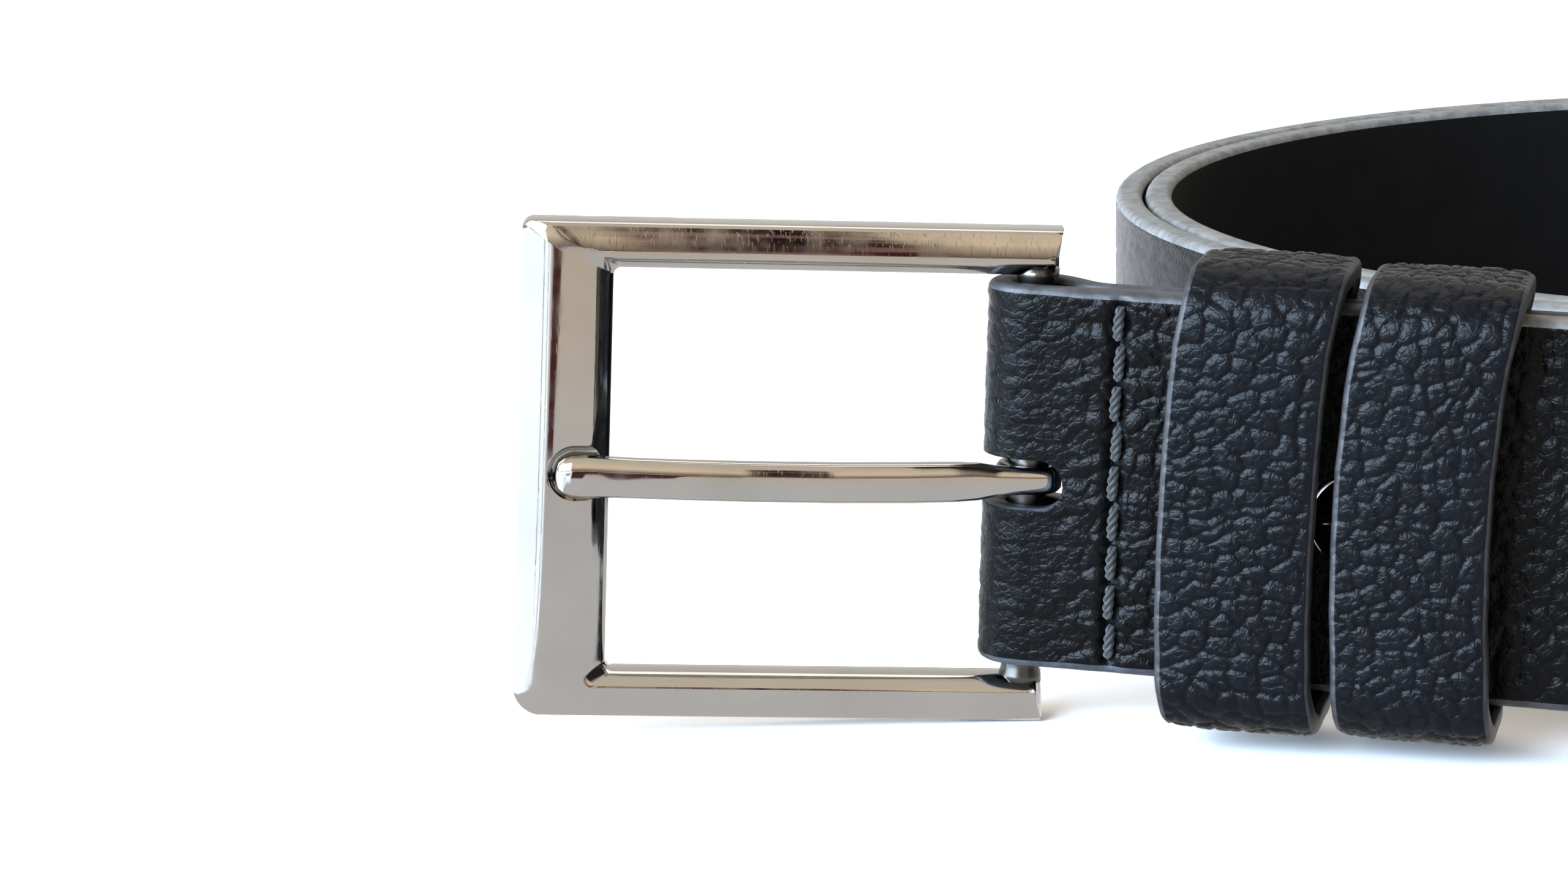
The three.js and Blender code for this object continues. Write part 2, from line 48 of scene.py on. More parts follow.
# ---------------------------------------------------------------- camera
VIEW_YAW = math.radians(14.515)
VIEW_PITCH = math.radians(11.611)
VIEW_ROLL = math.radians(-0.905)
camera_data = bpy.data.cameras.new("camera")
camera_data.sensor_width = 36.0
camera_data.lens = 98.33
camera_data.clip_start = 0.01
camera_data.clip_end = 20.0
camera = bpy.data.objects.new("camera", camera_data)
bpy.context.scene.collection.objects.link(camera)
bpy.context.scene.camera = camera
forward = Vector(
    (
        -math.sin(VIEW_YAW) * math.cos(VIEW_PITCH),
        math.cos(VIEW_YAW) * math.cos(VIEW_PITCH),
        -math.sin(VIEW_PITCH),
    )
)
level = Vector((math.cos(VIEW_YAW), math.sin(VIEW_YAW), 0.0))
plumb = level.cross(forward)
right = level * math.cos(VIEW_ROLL) + plumb * math.sin(VIEW_ROLL)
up = right.cross(forward)
camera.matrix_world = Matrix(
    (
        (right.x, up.x, -forward.x, 0.005445),
        (right.y, up.y, -forward.y, -0.463864),
        (right.z, up.z, -forward.z, 0.104642),
        (0, 0, 0, 1),
    )
)

# ---------------------------------------------------------------- layout, as the CAD part has it (mm)
WIDTH = 35.0
THICK = 2.9
FOLD_THICK = 2.05
BACK_THICK = 1.5
BACK_END = 54.0
BACK_MEETS = 12.5
FULL_AFTER = 12
GAP = 0.35
BAR_X, BAR_Y, BAR_R = 5.0, 4.2, 1.75
CLIMB = math.radians(2.08)
RISE = 6.2
COIL_X, COIL_Y, COIL_R = 83.2, 113.7, 88.1
TIP_ANGLE = 4 * math.pi + 0.55
STITCH_X = 13.5
STITCHES = 9
STITCH_PITCH = 3.65
LOOPS = ((19.4, 41.6), (34.7, 40.7))
LOOP_WIDTH, LOOP_FRONT, LOOP_BACK, LOOP_THICK, LOOP_LIFT = 13.7, -7.7, 8.1, 2.0, 0.4
SCREW_X, SCREW_Z = 35.4, -1.6
SLOT_H, SLOT_DROP = 4.6, 0.6
SWING = math.radians(18.5)
TILT = math.radians(0.74)
DROP = 0.6
TOE_X, HEEL_X, FRAME_H, WINDOW_H = -46.4, 2.2, 45.6, 37.2
TOE_BAR = 8.3
RAIL_WIDTH = 4.2

hinge = next(j for j in frame["joints"] if j["name"] == "frame_swivel")
slide = next(j for j in frame["joints"] if j["name"] == "loop_1_slide")
bar_point = Vector(hinge["pos_m"])
x_dir = Vector(slide["axis"]).normalized()
z_dir = Vector((-x_dir.z, 0.0, x_dir.x))
y_dir = Vector((0.0, 1.0, 0.0))
front_turn = Matrix((x_dir, y_dir, z_dir)).transposed()
front_origin = bar_point - front_turn @ (Vector((BAR_X, BAR_Y, -DROP)) * MM)
FRONT = Matrix.Translation(front_origin) @ front_turn.to_4x4()
BUCKLE = Matrix.Translation(bar_point) @ front_turn.to_4x4()
BUCKLE = BUCKLE @ Matrix.Rotation(TILT, 4, "Y") @ Matrix.Rotation(SWING, 4, "Z")
plan_x, plan_y = front_origin.x / MM, front_origin.y / MM


def to_world(matrix, points_mm):
    """Rows of millimetre points through a 4x4 whose lengths are metres."""
    m = np.array(matrix)
    return np.asarray(points_mm) * MM @ m[:3, :3].T + m[:3, 3]


# ---------------------------------------------------------------- procedural relief
def smooth(value, low, high):
    """Step from 0 to 1 with level ends."""
    t = np.clip((np.asarray(value, float) - low) / (high - low), 0.0, 1.0)
    return t * t * (3 - 2 * t)


def ease(value, low, high):
    """Step from 0 to 1 with level, straight ends."""
    t = np.clip((np.asarray(value, float) - low) / (high - low), 0.0, 1.0)
    return t * t * t * (t * (6 * t - 15) + 10)


def value_noise(x, y, seed):
    """Smooth random field from 0 to 1, with one knot for each unit of x and y."""
    table = np.random.RandomState(seed).rand(128, 128)
    xi, yi = np.floor(x).astype(int), np.floor(y).astype(int)
    fx, fy = x - xi, y - yi
    fx, fy = fx * fx * (3 - 2 * fx), fy * fy * (3 - 2 * fy)
    a, b = table[xi % 128, yi % 128], table[(xi + 1) % 128, yi % 128]
    c, d = table[xi % 128, (yi + 1) % 128], table[(xi + 1) % 128, (yi + 1) % 128]
    return (a * (1 - fx) + b * fx) * (1 - fy) + (c * (1 - fx) + d * fx) * fy


def layered_noise(x, y, seed, octaves=3):
    """Sum of ever finer and weaker random fields, about 0."""
    total, size = 0.0, 0.5
    for k in range(octaves):
        total = total + size * (value_noise(x * 2**k, y * 2**k, seed + k) - 0.5)
        size *= 0.5
    return total


def cells(x, y, seed, spread=0.9):
    """Nearest and second nearest distance to scattered points, and a random number per cell."""
    table = np.random.RandomState(seed).rand(128, 128, 3)
    xi, yi = np.floor(x).astype(int), np.floor(y).astype(int)
    near = np.full(np.shape(x), 9.0)
    second = np.full(np.shape(x), 9.0)
    owner = np.zeros(np.shape(x))
    for dx in (-1, 0, 1):
        for dy in (-1, 0, 1):
            cell = table[(xi + dx) % 128, (yi + dy) % 128]
            px = xi + dx + 0.5 + (cell[..., 0] - 0.5) * spread
            py = yi + dy + 0.5 + (cell[..., 1] - 0.5) * spread
            dist = np.hypot(x - px, y - py)
            closer = dist < near
            second = np.where(closer, near, np.minimum(second, dist))
            owner = np.where(closer, cell[..., 2], owner)
            near = np.minimum(near, dist)
    return near, second, owner


def pebbles(u, v, size_u, size_v, seed, crease=0.3):
    """Leather grain: domed cells of mixed size parted by creases, height about 0 to 1."""
    wu = u + 1.3 * layered_noise(u / 2.6, v / 2.6, seed + 40)
    wv = v + 1.3 * layered_noise(u / 2.8 + 9, v / 2.8 + 4, seed + 50)
    near, second, owner = cells(wu / size_u, wv / size_v, seed)
    rim = np.clip((second - near) / crease, 0.0, 1.0)
    dome = np.sqrt(np.clip(1.0 - (near / 0.85) ** 2, 0.0, 1.0))
    high = (1.0 - (1.0 - rim) ** 2) * (0.45 + 0.3 * owner) + 0.45 * dome
    small_near, small_second, _ = cells(wu / size_u * 2.3 + 3, wv / size_v * 2.3 + 5, seed + 7)
    small = np.clip((small_second - small_near) / 0.4, 0.0, 1.0)
    high = high * (0.8 + 0.2 * small)
    return high + 0.3 * layered_noise(u / 0.8, v / 0.8, seed + 60)


# ---------------------------------------------------------------- mesh helpers
def mesh_object(name, points, faces, materials=(), face_slots=None):
    """Smooth-shaded object with outward faces, its materials, and one material index for each face."""
    mesh = bpy.data.meshes.new(name)
    mesh.from_pydata([tuple(p) for p in points], [], [tuple(f) for f in faces])
    for material in materials:
        mesh.materials.append(material)
    if face_slots is not None:
        mesh.polygons.foreach_set("material_index", np.asarray(face_slots, np.int32))
    mesh.polygons.foreach_set("use_smooth", np.full(len(mesh.polygons), True))
    mesh.update()
    obj = bpy.data.objects.new(name, mesh)
    bpy.context.scene.collection.objects.link(obj)
    face_out(obj)
    return obj


def face_out(obj):
    """Turns the faces of a closed mesh outwards."""
    bm = bmesh.new()
    bm.from_mesh(obj.data)
    bmesh.ops.recalc_face_normals(bm, faces=bm.faces[:])
    bm.to_mesh(obj.data)
    bm.free()


def ring_faces(rings, around, closed_path):
    """Quads of a tube of points [rings x around]; open ends are capped."""
    r = np.arange(rings if closed_path else rings - 1)
    k = np.arange(around)
    a = (r[:, None] * around + k[None, :]).ravel()
    b = (r[:, None] * around + (k[None, :] + 1) % around).ravel()
    nxt = ((r + 1) % rings)[:, None]
    c = (nxt * around + (k[None, :] + 1) % around).ravel()
    d = (nxt * around + k[None, :]).ravel()
    faces = list(zip(a.tolist(), b.tolist(), c.tolist(), d.tolist()))
    if not closed_path:
        faces.append(tuple(range(around))[::-1])
        faces.append(tuple(range((rings - 1) * around, rings * around)))
    return faces


def apply_all(obj):
    """Bakes an object's modifiers into its mesh."""
    graph = bpy.context.evaluated_depsgraph_get()
    graph.update()
    made = bpy.data.meshes.new_from_object(obj.evaluated_get(graph))
    obj.modifiers.clear()
    obj.data = made


def subtract(obj, cutters):
    """Cuts each cutter out of an object and removes the cutter."""
    for cutter in cutters:
        modifier = obj.modifiers.new("cut", "BOOLEAN")
        modifier.operation = "DIFFERENCE"
        modifier.solver = "EXACT"
        modifier.material_mode = "TRANSFER"
        modifier.object = cutter
        apply_all(obj)
        bpy.data.objects.remove(cutter)


def section_tube(name, path, sections, materials, closed=False):
    """Solid through section loops: path of 4x4 matrices (m), sections of [n x 3] millimetre points."""
    points = np.concatenate([to_world(m, s) for m, s in zip(path, sections)])
    return mesh_object(name, points, ring_faces(len(path), len(sections[0]), closed), materials)


# ---------------------------------------------------------------- materials
def new_material(name):
    """Empty node material with a principled shader: material, node tree, shader."""
    material = bpy.data.materials.new(name)
    material.use_nodes = True
    tree = material.node_tree
    tree.nodes.clear()
    out = tree.nodes.new("ShaderNodeOutputMaterial")
    shader = tree.nodes.new("ShaderNodeBsdfPrincipled")
    tree.links.new(shader.outputs[0], out.inputs[0])
    return material, tree, shader


def node(tree, kind, links=(), **values):
    """Node with its settings, inputs linked by name, and in_ values set on inputs."""
    made = tree.nodes.new(kind)
    for key, value in values.items():
        if key.startswith("in_"):
            made.inputs[key[3:].replace("_", " ")].default_value = value
        else:
            setattr(made, key, value)
    for name, source in links:
        tree.links.new(source, made.inputs[name])
    return made


def ramp_node(tree, source, stops):
    """Colour ramp through (place, colour) stops."""
    made = tree.nodes.new("ShaderNodeValToRGB")
    tree.links.new(source, made.inputs[0])
    elements = made.color_ramp.elements
    while len(elements) < len(stops):
        elements.new(0.5)
    for element, (place, colour) in zip(elements, stops):
        element.position = place
        element.color = (*colour, 1)
    return made.outputs[0]


def leather_material(name, low, high, roughness, pore=1.0, relief=1.0, shine=0.1):
    """Grained leather: colour variation, painted highlight on the crests of the grain, fine creases and
    pores, uneven gloss.
    """
    material, tree, shader = new_material(name)
    coords = node(tree, "ShaderNodeTexCoord").outputs["Object"]
    broad = node(tree, "ShaderNodeTexNoise", [("Vector", coords)], in_Scale=160.0, in_Detail=4.0)
    colour = ramp_node(tree, broad.outputs["Fac"], [(0.3, low), (0.72, high)])
    geometry = node(tree, "ShaderNodeNewGeometry")
    # lighter colour on the convex crests of the grain than in its hollows, from the mesh's curvature: painted
    # highlight, with the hollows left darker as painted shade
    tops = ramp_node(tree, geometry.outputs["Pointiness"], [(0.47, (0, 0, 0)), (0.56, (1, 1, 1))])
    mix = node(tree, "ShaderNodeMix", data_type="RGBA")
    tree.links.new(tops, mix.inputs[0])
    tree.links.new(colour, mix.inputs[6])
    mix.inputs[7].default_value = (*[c * 1.5 + 0.001 for c in high], 1)
    tree.links.new(mix.outputs[2], shader.inputs["Base Color"])
    shader.inputs["Specular IOR Level"].default_value = shine
    gloss = node(tree, "ShaderNodeTexNoise", [("Vector", coords)], in_Scale=900.0, in_Detail=3.0)
    spread = node(tree, "ShaderNodeMapRange", [("Value", gloss.outputs["Fac"])])
    spread.inputs["To Min"].default_value = roughness - 0.07
    spread.inputs["To Max"].default_value = roughness + 0.1
    tree.links.new(spread.outputs[0], shader.inputs["Roughness"])
    creases = node(
        tree,
        "ShaderNodeTexVoronoi",
        [("Vector", coords)],
        feature="DISTANCE_TO_EDGE",
        in_Scale=1500.0,
    )
    crease_line = ramp_node(tree, creases.outputs["Distance"], [(0.0, (0, 0, 0)), (0.16, (1, 1, 1))])
    pores = node(tree, "ShaderNodeTexNoise", [("Vector", coords)], in_Scale=5200.0, in_Detail=2.0)
    first = node(tree, "ShaderNodeBump", [("Height", crease_line)], in_Strength=0.34 * relief)
    first.inputs["Distance"].default_value = 0.00006
    second = node(
        tree,
        "ShaderNodeBump",
        [("Height", pores.outputs["Fac"]), ("Normal", first.outputs[0])],
        in_Strength=0.3 * pore,
    )
    second.inputs["Distance"].default_value = 0.00004
    tree.links.new(second.outputs[0], shader.inputs["Normal"])
    return material


def edge_material(name, low, high):
    """Burnished and painted cut edge: faint fibres along the strap, slightly uneven colour."""
    material, tree, shader = new_material(name)
    coords = node(tree, "ShaderNodeTexCoord").outputs["Object"]
    fibre = node(tree, "ShaderNodeTexNoise", [("Vector", coords)], in_Scale=700.0, in_Detail=5.0)
    tree.links.new(
        ramp_node(tree, fibre.outputs["Fac"], [(0.32, low), (0.7, high)]), shader.inputs["Base Color"]
    )
    shader.inputs["Roughness"].default_value = 0.52
    rough = node(tree, "ShaderNodeTexNoise", [("Vector", coords)], in_Scale=2600.0, in_Detail=3.0)
    bump = node(tree, "ShaderNodeBump", [("Height", rough.outputs["Fac"])], in_Strength=0.45)
    bump.inputs["Distance"].default_value = 0.00008
    tree.links.new(bump.outputs[0], shader.inputs["Normal"])
    return material


def chrome_material(name, colour, roughness, scratch=1.0):
    """Polished plated metal: hairline scratches, small pits and hazy, handled patches."""
    material, tree, shader = new_material(name)
    coords = node(tree, "ShaderNodeTexCoord").outputs["Object"]
    shader.inputs["Metallic"].default_value = 1.0
    haze = node(tree, "ShaderNodeTexNoise", [("Vector", coords)], in_Scale=120.0, in_Detail=4.0)
    tree.links.new(
        ramp_node(
            tree,
            haze.outputs["Fac"],
            [(0.3, [c * 0.93 for c in colour]), (0.7, [min(1, c * 1.05) for c in colour])],
        ),
        shader.inputs["Base Color"],
    )
    patches = node(tree, "ShaderNodeTexNoise", [("Vector", coords)], in_Scale=330.0, in_Detail=5.0)
    spread = node(tree, "ShaderNodeMapRange", [("Value", patches.outputs["Fac"])])
    spread.inputs["From Min"].default_value = 0.42
    spread.inputs["From Max"].default_value = 0.75
    spread.inputs["To Min"].default_value = roughness
    spread.inputs["To Max"].default_value = roughness + 0.12
    tree.links.new(spread.outputs[0], shader.inputs["Roughness"])
    stretch = node(tree, "ShaderNodeMapping", [("Vector", coords)])
    stretch.inputs["Scale"].default_value = (1.0, 1.0, 0.12)
    stretch.inputs["Rotation"].default_value = (0.5, 0.25, 0.4)
    lines = node(
        tree, "ShaderNodeTexNoise", [("Vector", stretch.outputs[0])], in_Scale=5200.0, in_Detail=3.0
    )
    hair = ramp_node(tree, lines.outputs["Fac"], [(0.60, (0, 0, 0)), (0.68, (1, 1, 1))])
    pit_cells = node(tree, "ShaderNodeTexVoronoi", [("Vector", coords)], in_Scale=1100.0)
    pits = ramp_node(tree, pit_cells.outputs["Distance"], [(0.0, (1, 1, 1)), (0.13, (0, 0, 0))])
    first = node(tree, "ShaderNodeBump", [("Height", hair)], in_Strength=0.05 * scratch)
    first.inputs["Distance"].default_value = 0.00002
    second = node(
        tree, "ShaderNodeBump", [("Height", pits), ("Normal", first.outputs[0])], in_Strength=0.06 * scratch
    )
    second.inputs["Distance"].default_value = 0.00003
    second.invert = True
    tree.links.new(second.outputs[0], shader.inputs["Normal"])
    return material


def thread_material(name, low, high):
    """Waxed twisted thread: fine fibres and a soft sheen."""
    material, tree, shader = new_material(name)
    coords = node(tree, "ShaderNodeTexCoord").outputs["Object"]
    fibre = node(tree, "ShaderNodeTexNoise", [("Vector", coords)], in_Scale=3000.0, in_Detail=4.0)
    tree.links.new(
        ramp_node(tree, fibre.outputs["Fac"], [(0.3, low), (0.7, high)]), shader.inputs["Base Color"]
    )
    shader.inputs["Roughness"].default_value = 0.6
    shader.inputs["Sheen Weight"].default_value = 0.25
    bump = node(tree, "ShaderNodeBump", [("Height", fibre.outputs["Fac"])], in_Strength=0.5)
    bump.inputs["Distance"].default_value = 0.00005
    tree.links.new(bump.outputs[0], shader.inputs["Normal"])
    return material


grain = leather_material("strap_grain", (0.0006, 0.0006, 0.0007), (0.0016, 0.0017, 0.002), 0.27)
lining = leather_material(
    "strap_lining", (0.0012, 0.0012, 0.0012), (0.0028, 0.0027, 0.0028), 0.8, pore=0.6, relief=0.5, shine=0.08
)
loop_grain = leather_material("loop_grain", (0.0008, 0.001, 0.0014), (0.0022, 0.0027, 0.0038), 0.28)
# one edge paint in three copies: the light one on the roll's upper edges is painted highlight from the top
# light; the dark ones on the lower edges, the front stretch's upper edge and the loops' cut edges are painted
# shade
lit_rim_paint = edge_material("lit_rim_paint", (0.085, 0.088, 0.09), (0.2, 0.2, 0.19))
shaded_rim_paint = edge_material("shaded_rim_paint", (0.012, 0.013, 0.016), (0.04, 0.042, 0.047))
shaded_loop_rim = edge_material("shaded_loop_rim", (0.006, 0.006, 0.008), (0.02, 0.021, 0.024))
raw_edge = edge_material("raw_edge", (0.01, 0.012, 0.016), (0.035, 0.045, 0.06))
chrome = chrome_material("polished_nickel", (0.45, 0.435, 0.415), 0.05)
# darker copy of the nickel for the heel bar and the tongue's eye: painted shade of the leather fold closing
# round them
shade_painted = chrome_material("shade_painted_nickel", (0.1, 0.096, 0.09), 0.22, 1.5)
steel = chrome_material("plain_steel", (0.56, 0.56, 0.55), 0.24, 1.6)
thread = thread_material("waxed_thread", (0.006, 0.0065, 0.008), (0.02, 0.022, 0.026))


# ---------------------------------------------------------------- strap path
def strap_line():
    """Mid-line of the whole strap from the turned-back end to the tip, densely sampled."""
    wrap = BAR_R + GAP + FOLD_THICK / 2
    back_y = THICK + GAP + BACK_THICK / 2
    rows = []
    for x in np.arange(BACK_END, BACK_MEETS, -0.5):
        rows.append((x, back_y, BACK_THICK, 0.0))
    for x in np.linspace(BACK_MEETS, BAR_X, 40, endpoint=False):
        blend = float(ease(BACK_MEETS - x, 0, BACK_MEETS - BAR_X))
        y = back_y + (BAR_Y + wrap - back_y) * blend
        rows.append((x, y, BACK_THICK + (FOLD_THICK - BACK_THICK) * blend, 0.0))
    for angle in np.linspace(math.pi / 2, math.pi * 1.5, 60, endpoint=False):
        rows.append((BAR_X + wrap * math.cos(angle), BAR_Y + wrap * math.sin(angle), FOLD_THICK, 0.0))
    for x in np.linspace(BAR_X, BAR_X + FULL_AFTER, 40, endpoint=False):
        thick = FOLD_THICK + (THICK - FOLD_THICK) * float(ease(x, BAR_X, BAR_X + FULL_AFTER))
        rows.append((x, thick / 2, thick, 0.0))
    for x in np.arange(BAR_X + FULL_AFTER, COIL_X, 0.5):
        rows.append((x, THICK / 2, THICK, 0.0))
    count = len(rows)
    pitch = THICK + GAP
    settled = COIL_R - THICK / 2
    for turn in np.linspace(0, TIP_ANGLE, 1600):
        lead = (COIL_Y - THICK / 2 - settled) * (1 - float(ease(turn, 0, math.pi * 1.1)))
        first_step = float(ease(turn, math.pi * 1.9, math.pi * 2.6))
        second_step = float(ease(turn, math.pi * 3.85, math.pi * 4.4))
        radius = settled + lead - pitch * (first_step + second_step)
        rows.append((COIL_X + radius * math.sin(turn), COIL_Y - radius * math.cos(turn), THICK, turn))
    rows = np.array(rows)
    lengths = np.concatenate([[0], np.cumsum(np.hypot(*np.diff(rows[:, :2], axis=0).T))])
    return rows, lengths, count


rows, lengths, coil_start = strap_line()
TOTAL = float(lengths[-1])
LEVEL_RUN = 2 * (RISE - math.tan(CLIMB) * COIL_X) / math.tan(CLIMB)
flat_rows = slice(coil_start - 150, coil_start)
FLAT_AT = float(np.interp(BAR_X + FULL_AFTER, rows[flat_rows, 0], lengths[flat_rows]))


def length_at_front(x):
    """Path length at a distance x along the front stretch."""
    return FLAT_AT + (x - BAR_X - FULL_AFTER)


def strap_frames(s):
    """Position, outward, across and thickness of the strap at path lengths s, in world millimetres."""
    x = np.interp(s, lengths, rows[:, 0])
    y = np.interp(s, lengths, rows[:, 1])
    thick = np.interp(s, lengths, rows[:, 2])
    step = 0.4
    tx = np.interp(s + step, lengths, rows[:, 0]) - np.interp(s - step, lengths, rows[:, 0])
    ty = np.interp(s + step, lengths, rows[:, 1]) - np.interp(s - step, lengths, rows[:, 1])
    size = np.hypot(tx, ty)
    tx, ty = tx / size, ty / size
    past = s - lengths[coil_start]
    left = np.clip(1 - past / LEVEL_RUN, 0, 1)
    tilt = CLIMB * left
    end_rise = RISE - math.tan(CLIMB) * COIL_X
    rise = np.where(past <= 0, RISE - math.tan(CLIMB) * x, end_rise * left * left)
    point = np.stack([plan_x + x, plan_y + y, WIDTH / 2 + rise], 1)
    across = np.stack(
        [
            np.where(past <= 0, np.sin(tilt), tx * np.sin(tilt)),
            np.where(past <= 0, 0.0, ty * np.sin(tilt)),
            np.cos(tilt),
        ],
        1,
    )
    outward = np.stack([ty, -tx, np.zeros_like(tx)], 1)
    return point, outward, across, thick


def strap_relief(s, z):
    """Height of the grain face above the plain strap, in millimetres."""
    x = s - length_at_front(0.0)
    grain_on = 0.35 + 0.65 * smooth(x, 7.0, 14.5)
    bend = 1 - smooth(x, -4.0, 12.0)
    h = 0.3 * grain_on * (pebbles(x, z, 2.2, 1.6, 11) - 0.62)
    ripples = layered_noise(x / 5.0, z / 1.1, 71, 4)
    h = h + bend * 0.3 * ripples
    # sunken seam with puckered leather beside each stitch
    d = x - STITCH_X - 0.25 * layered_noise(z / 3.0, z * 0 + 2.0, 23)
    seam = np.exp(-((d / 0.8) ** 2))
    h = h - 0.62 * seam
    phase = (z / STITCH_PITCH + STITCHES / 2.0) * 2 * math.pi
    pull = np.exp(-((d / 2.6) ** 2))
    h = h + pull * 0.13 * np.cos(phase) * (1 - seam)
    holes = np.exp(-((d / 0.55) ** 2)) * np.clip(-np.cos(phase), 0, 1) ** 4
    h = h - 0.55 * holes
    puckers = layered_noise((x + 0.6 * z) / 2.4, (z - 0.5 * x) / 1.0, 31, 3)
    h = h + 0.3 * puckers * np.exp(-(((x - 10.0) / 3.2) ** 2))
    return h


def strap_piece(name, s_values, z_count, relief, upper_edge, tip=False):
    """Closed strip of strap with a relief on its grain face, rounded painted edges and a plain lining; the
    lower edges take the darkened edge paint as painted shade, the upper ones the edge paint given.
    """
    point, outward, across, thick = strap_frames(s_values)
    half = np.full(len(s_values), WIDTH / 2)
    if tip:
        share = np.clip((TOTAL - s_values) / 20.0, 0, 1)
        half = half * np.maximum(0.12, np.sqrt(1 - (1 - share) ** 2.4))
    radius = np.minimum(np.minimum(0.75, thick * 0.32), half * 0.3)
    face = np.linspace(-1, 1, z_count)
    inner = np.linspace(1, -1, 9)
    arc = np.linspace(0, math.pi / 2, 5)[1:-1]
    n_list, u_list, weight, slots = [], [], [], []

    def lane(out, over, lift, slot):
        n_list.append(out)
        u_list.append(over)
        weight.append(lift)
        slots.append(slot)

    flat = thick / 2 - radius
    reach = half - radius
    for t in face:
        lane(thick / 2, t * reach, 1.0 if abs(t) < 0.985 else 0.5, 0)
    slots[-1] = 1
    for a in arc:
        lane(flat + radius * math.cos(a), reach + radius * math.sin(a), 0.25, 1)
    for share in (0.0, 0.5, 1.0):
        lane(flat * (1 - 2 * share), half - 0.05 * math.sin(math.pi * share), 0.0, 1)
    for a in arc:
        lane(-flat - radius * math.sin(a), reach + radius * math.cos(a), 0.0, 1)
    for t in inner:
        lane(-thick / 2, t * reach, 0.0, 2)
    slots[-1] = 3
    for a in arc:
        lane(-flat - radius * math.cos(a), -reach - radius * math.sin(a), 0.0, 3)
    for share in (0.0, 0.5, 1.0):
        lane(-flat * (1 - 2 * share), -half + 0.05 * math.sin(math.pi * share), 0.0, 3)
    for a in arc:
        lane(flat + radius * math.sin(a), -reach - radius * math.cos(a), 0.25, 3)
    n = np.stack([np.broadcast_to(v, half.shape) for v in n_list], 1)
    u = np.stack([np.broadcast_to(v, half.shape) for v in u_list], 1)
    w = np.array(weight)
    s_grid = np.broadcast_to(s_values[:, None], n.shape)
    raised = n + w[None, :] * relief(s_grid, u)
    wobble = 0.06 * layered_noise(s_grid / 3.0, u * 0 + 3.0, 91)
    points = (
        point[:, None, :]
        + outward[:, None, :] * (raised + wobble)[..., None]
        + across[:, None, :] * u[..., None]
    ) * MM
    around = n.shape[1]
    faces = ring_faces(len(s_values), around, False)
    face_slots = np.concatenate([np.tile(slots, len(s_values) - 1), [1, 1]])
    # the lower edges take the darkened edge paint: painted shade
    materials = (grain, upper_edge, lining, shaded_rim_paint)
    return mesh_object(name, points.reshape(-1, 3), faces, materials, face_slots)


def capsule_cutter(name, matrix, y0, y1, x0, x1, height, material):
    """Round-ended slot cutter from x0 to x1, through y0 to y1, in a local frame."""
    r = height / 2
    outline = []
    for a in np.linspace(-math.pi / 2, math.pi / 2, 13):
        outline.append((x1 - r + r * math.cos(a), r * math.sin(a)))
    for a in np.linspace(math.pi / 2, math.pi * 1.5, 13):
        outline.append((x0 + r + r * math.cos(a), r * math.sin(a)))
    sections = [np.array([(x, y, z) for x, z in outline]) for y in (y0, y1)]
    return section_tube(name, [matrix, matrix], sections, (material,))


SEAM_X = 42.2
fine = np.arange(BACK_END - BAR_X - 1.0, length_at_front(SEAM_X), 0.2)
coarse = np.arange(0.0, fine[0] - 0.4, 1.0)
s_front = np.concatenate([coarse, fine, [length_at_front(SEAM_X)]])
# its upper edge takes the darkened edge paint: painted shade
strap_front = strap_piece("belt_buckle_end", s_front, 176, strap_relief, shaded_rim_paint)
slot_place = FRONT @ Matrix.Translation((0, 0, -SLOT_DROP * MM))
slot_front = capsule_cutter("slot_front", slot_place, -2.0, BAR_Y, -3.0, 8.9, SLOT_H, raw_edge)
slot_back = capsule_cutter("slot_back", slot_place, BAR_Y - 0.2, BAR_Y + 7.0, -3.0, 9.8, SLOT_H, raw_edge)
subtract(strap_front, [slot_front, slot_back])
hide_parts("strap_front")
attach(strap_front, "strap")


def roll_relief(s, z):
    """Grain of the roll, which fades past the stretch in front."""
    x = s - length_at_front(0.0)
    fade = 0.55 + 0.45 * (1 - smooth(x, 60, 110))
    return strap_relief(s, z) * np.where(x < 62, 1.0, fade)


near = np.arange(length_at_front(SEAM_X), length_at_front(66.0), 0.25)
middle = np.arange(near[-1] + 0.5, length_at_front(95.0), 0.6)
far = np.arange(middle[-1] + 1.0, TOTAL - 22.0, 1.2)
tip_part = np.linspace(TOTAL - 21.0, TOTAL, 34)
# the roll's upper edges take the lightened edge paint: painted highlight
strap_roll = strap_piece(
    "belt_roll", np.concatenate([near, middle, far, tip_part]), 90, roll_relief, lit_rim_paint, tip=True
)


def hole_cutters():
    """Five oval punches, 25 mm apart, the first 100 mm from the tip."""
    made = []
    for k in range(5):
        s = np.array([TOTAL - 100.0 - 25.0 * k])
        point, outward, across, _ = strap_frames(s)
        out, acr = Vector(outward[0]), Vector(across[0])
        along = out.cross(acr)
        place = Matrix((along, out, acr)).transposed().to_4x4()
        place.translation = Vector(point[0]) * MM
        turns = np.linspace(0, 2 * math.pi, 24, endpoint=False)
        ring = [(2.1 * math.cos(a), 1.75 * math.sin(a)) for a in turns]
        sections = [np.array([(x, y, z) for x, z in ring]) for y in (-2.6, 2.6)]
        made.append(section_tube(f"punch_{k}", [place, place], sections, (raw_edge,)))
    return made


subtract(strap_roll, hole_cutters())
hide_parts("strap_outer_turn", "strap_inner_turn")
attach(strap_roll, "strap")


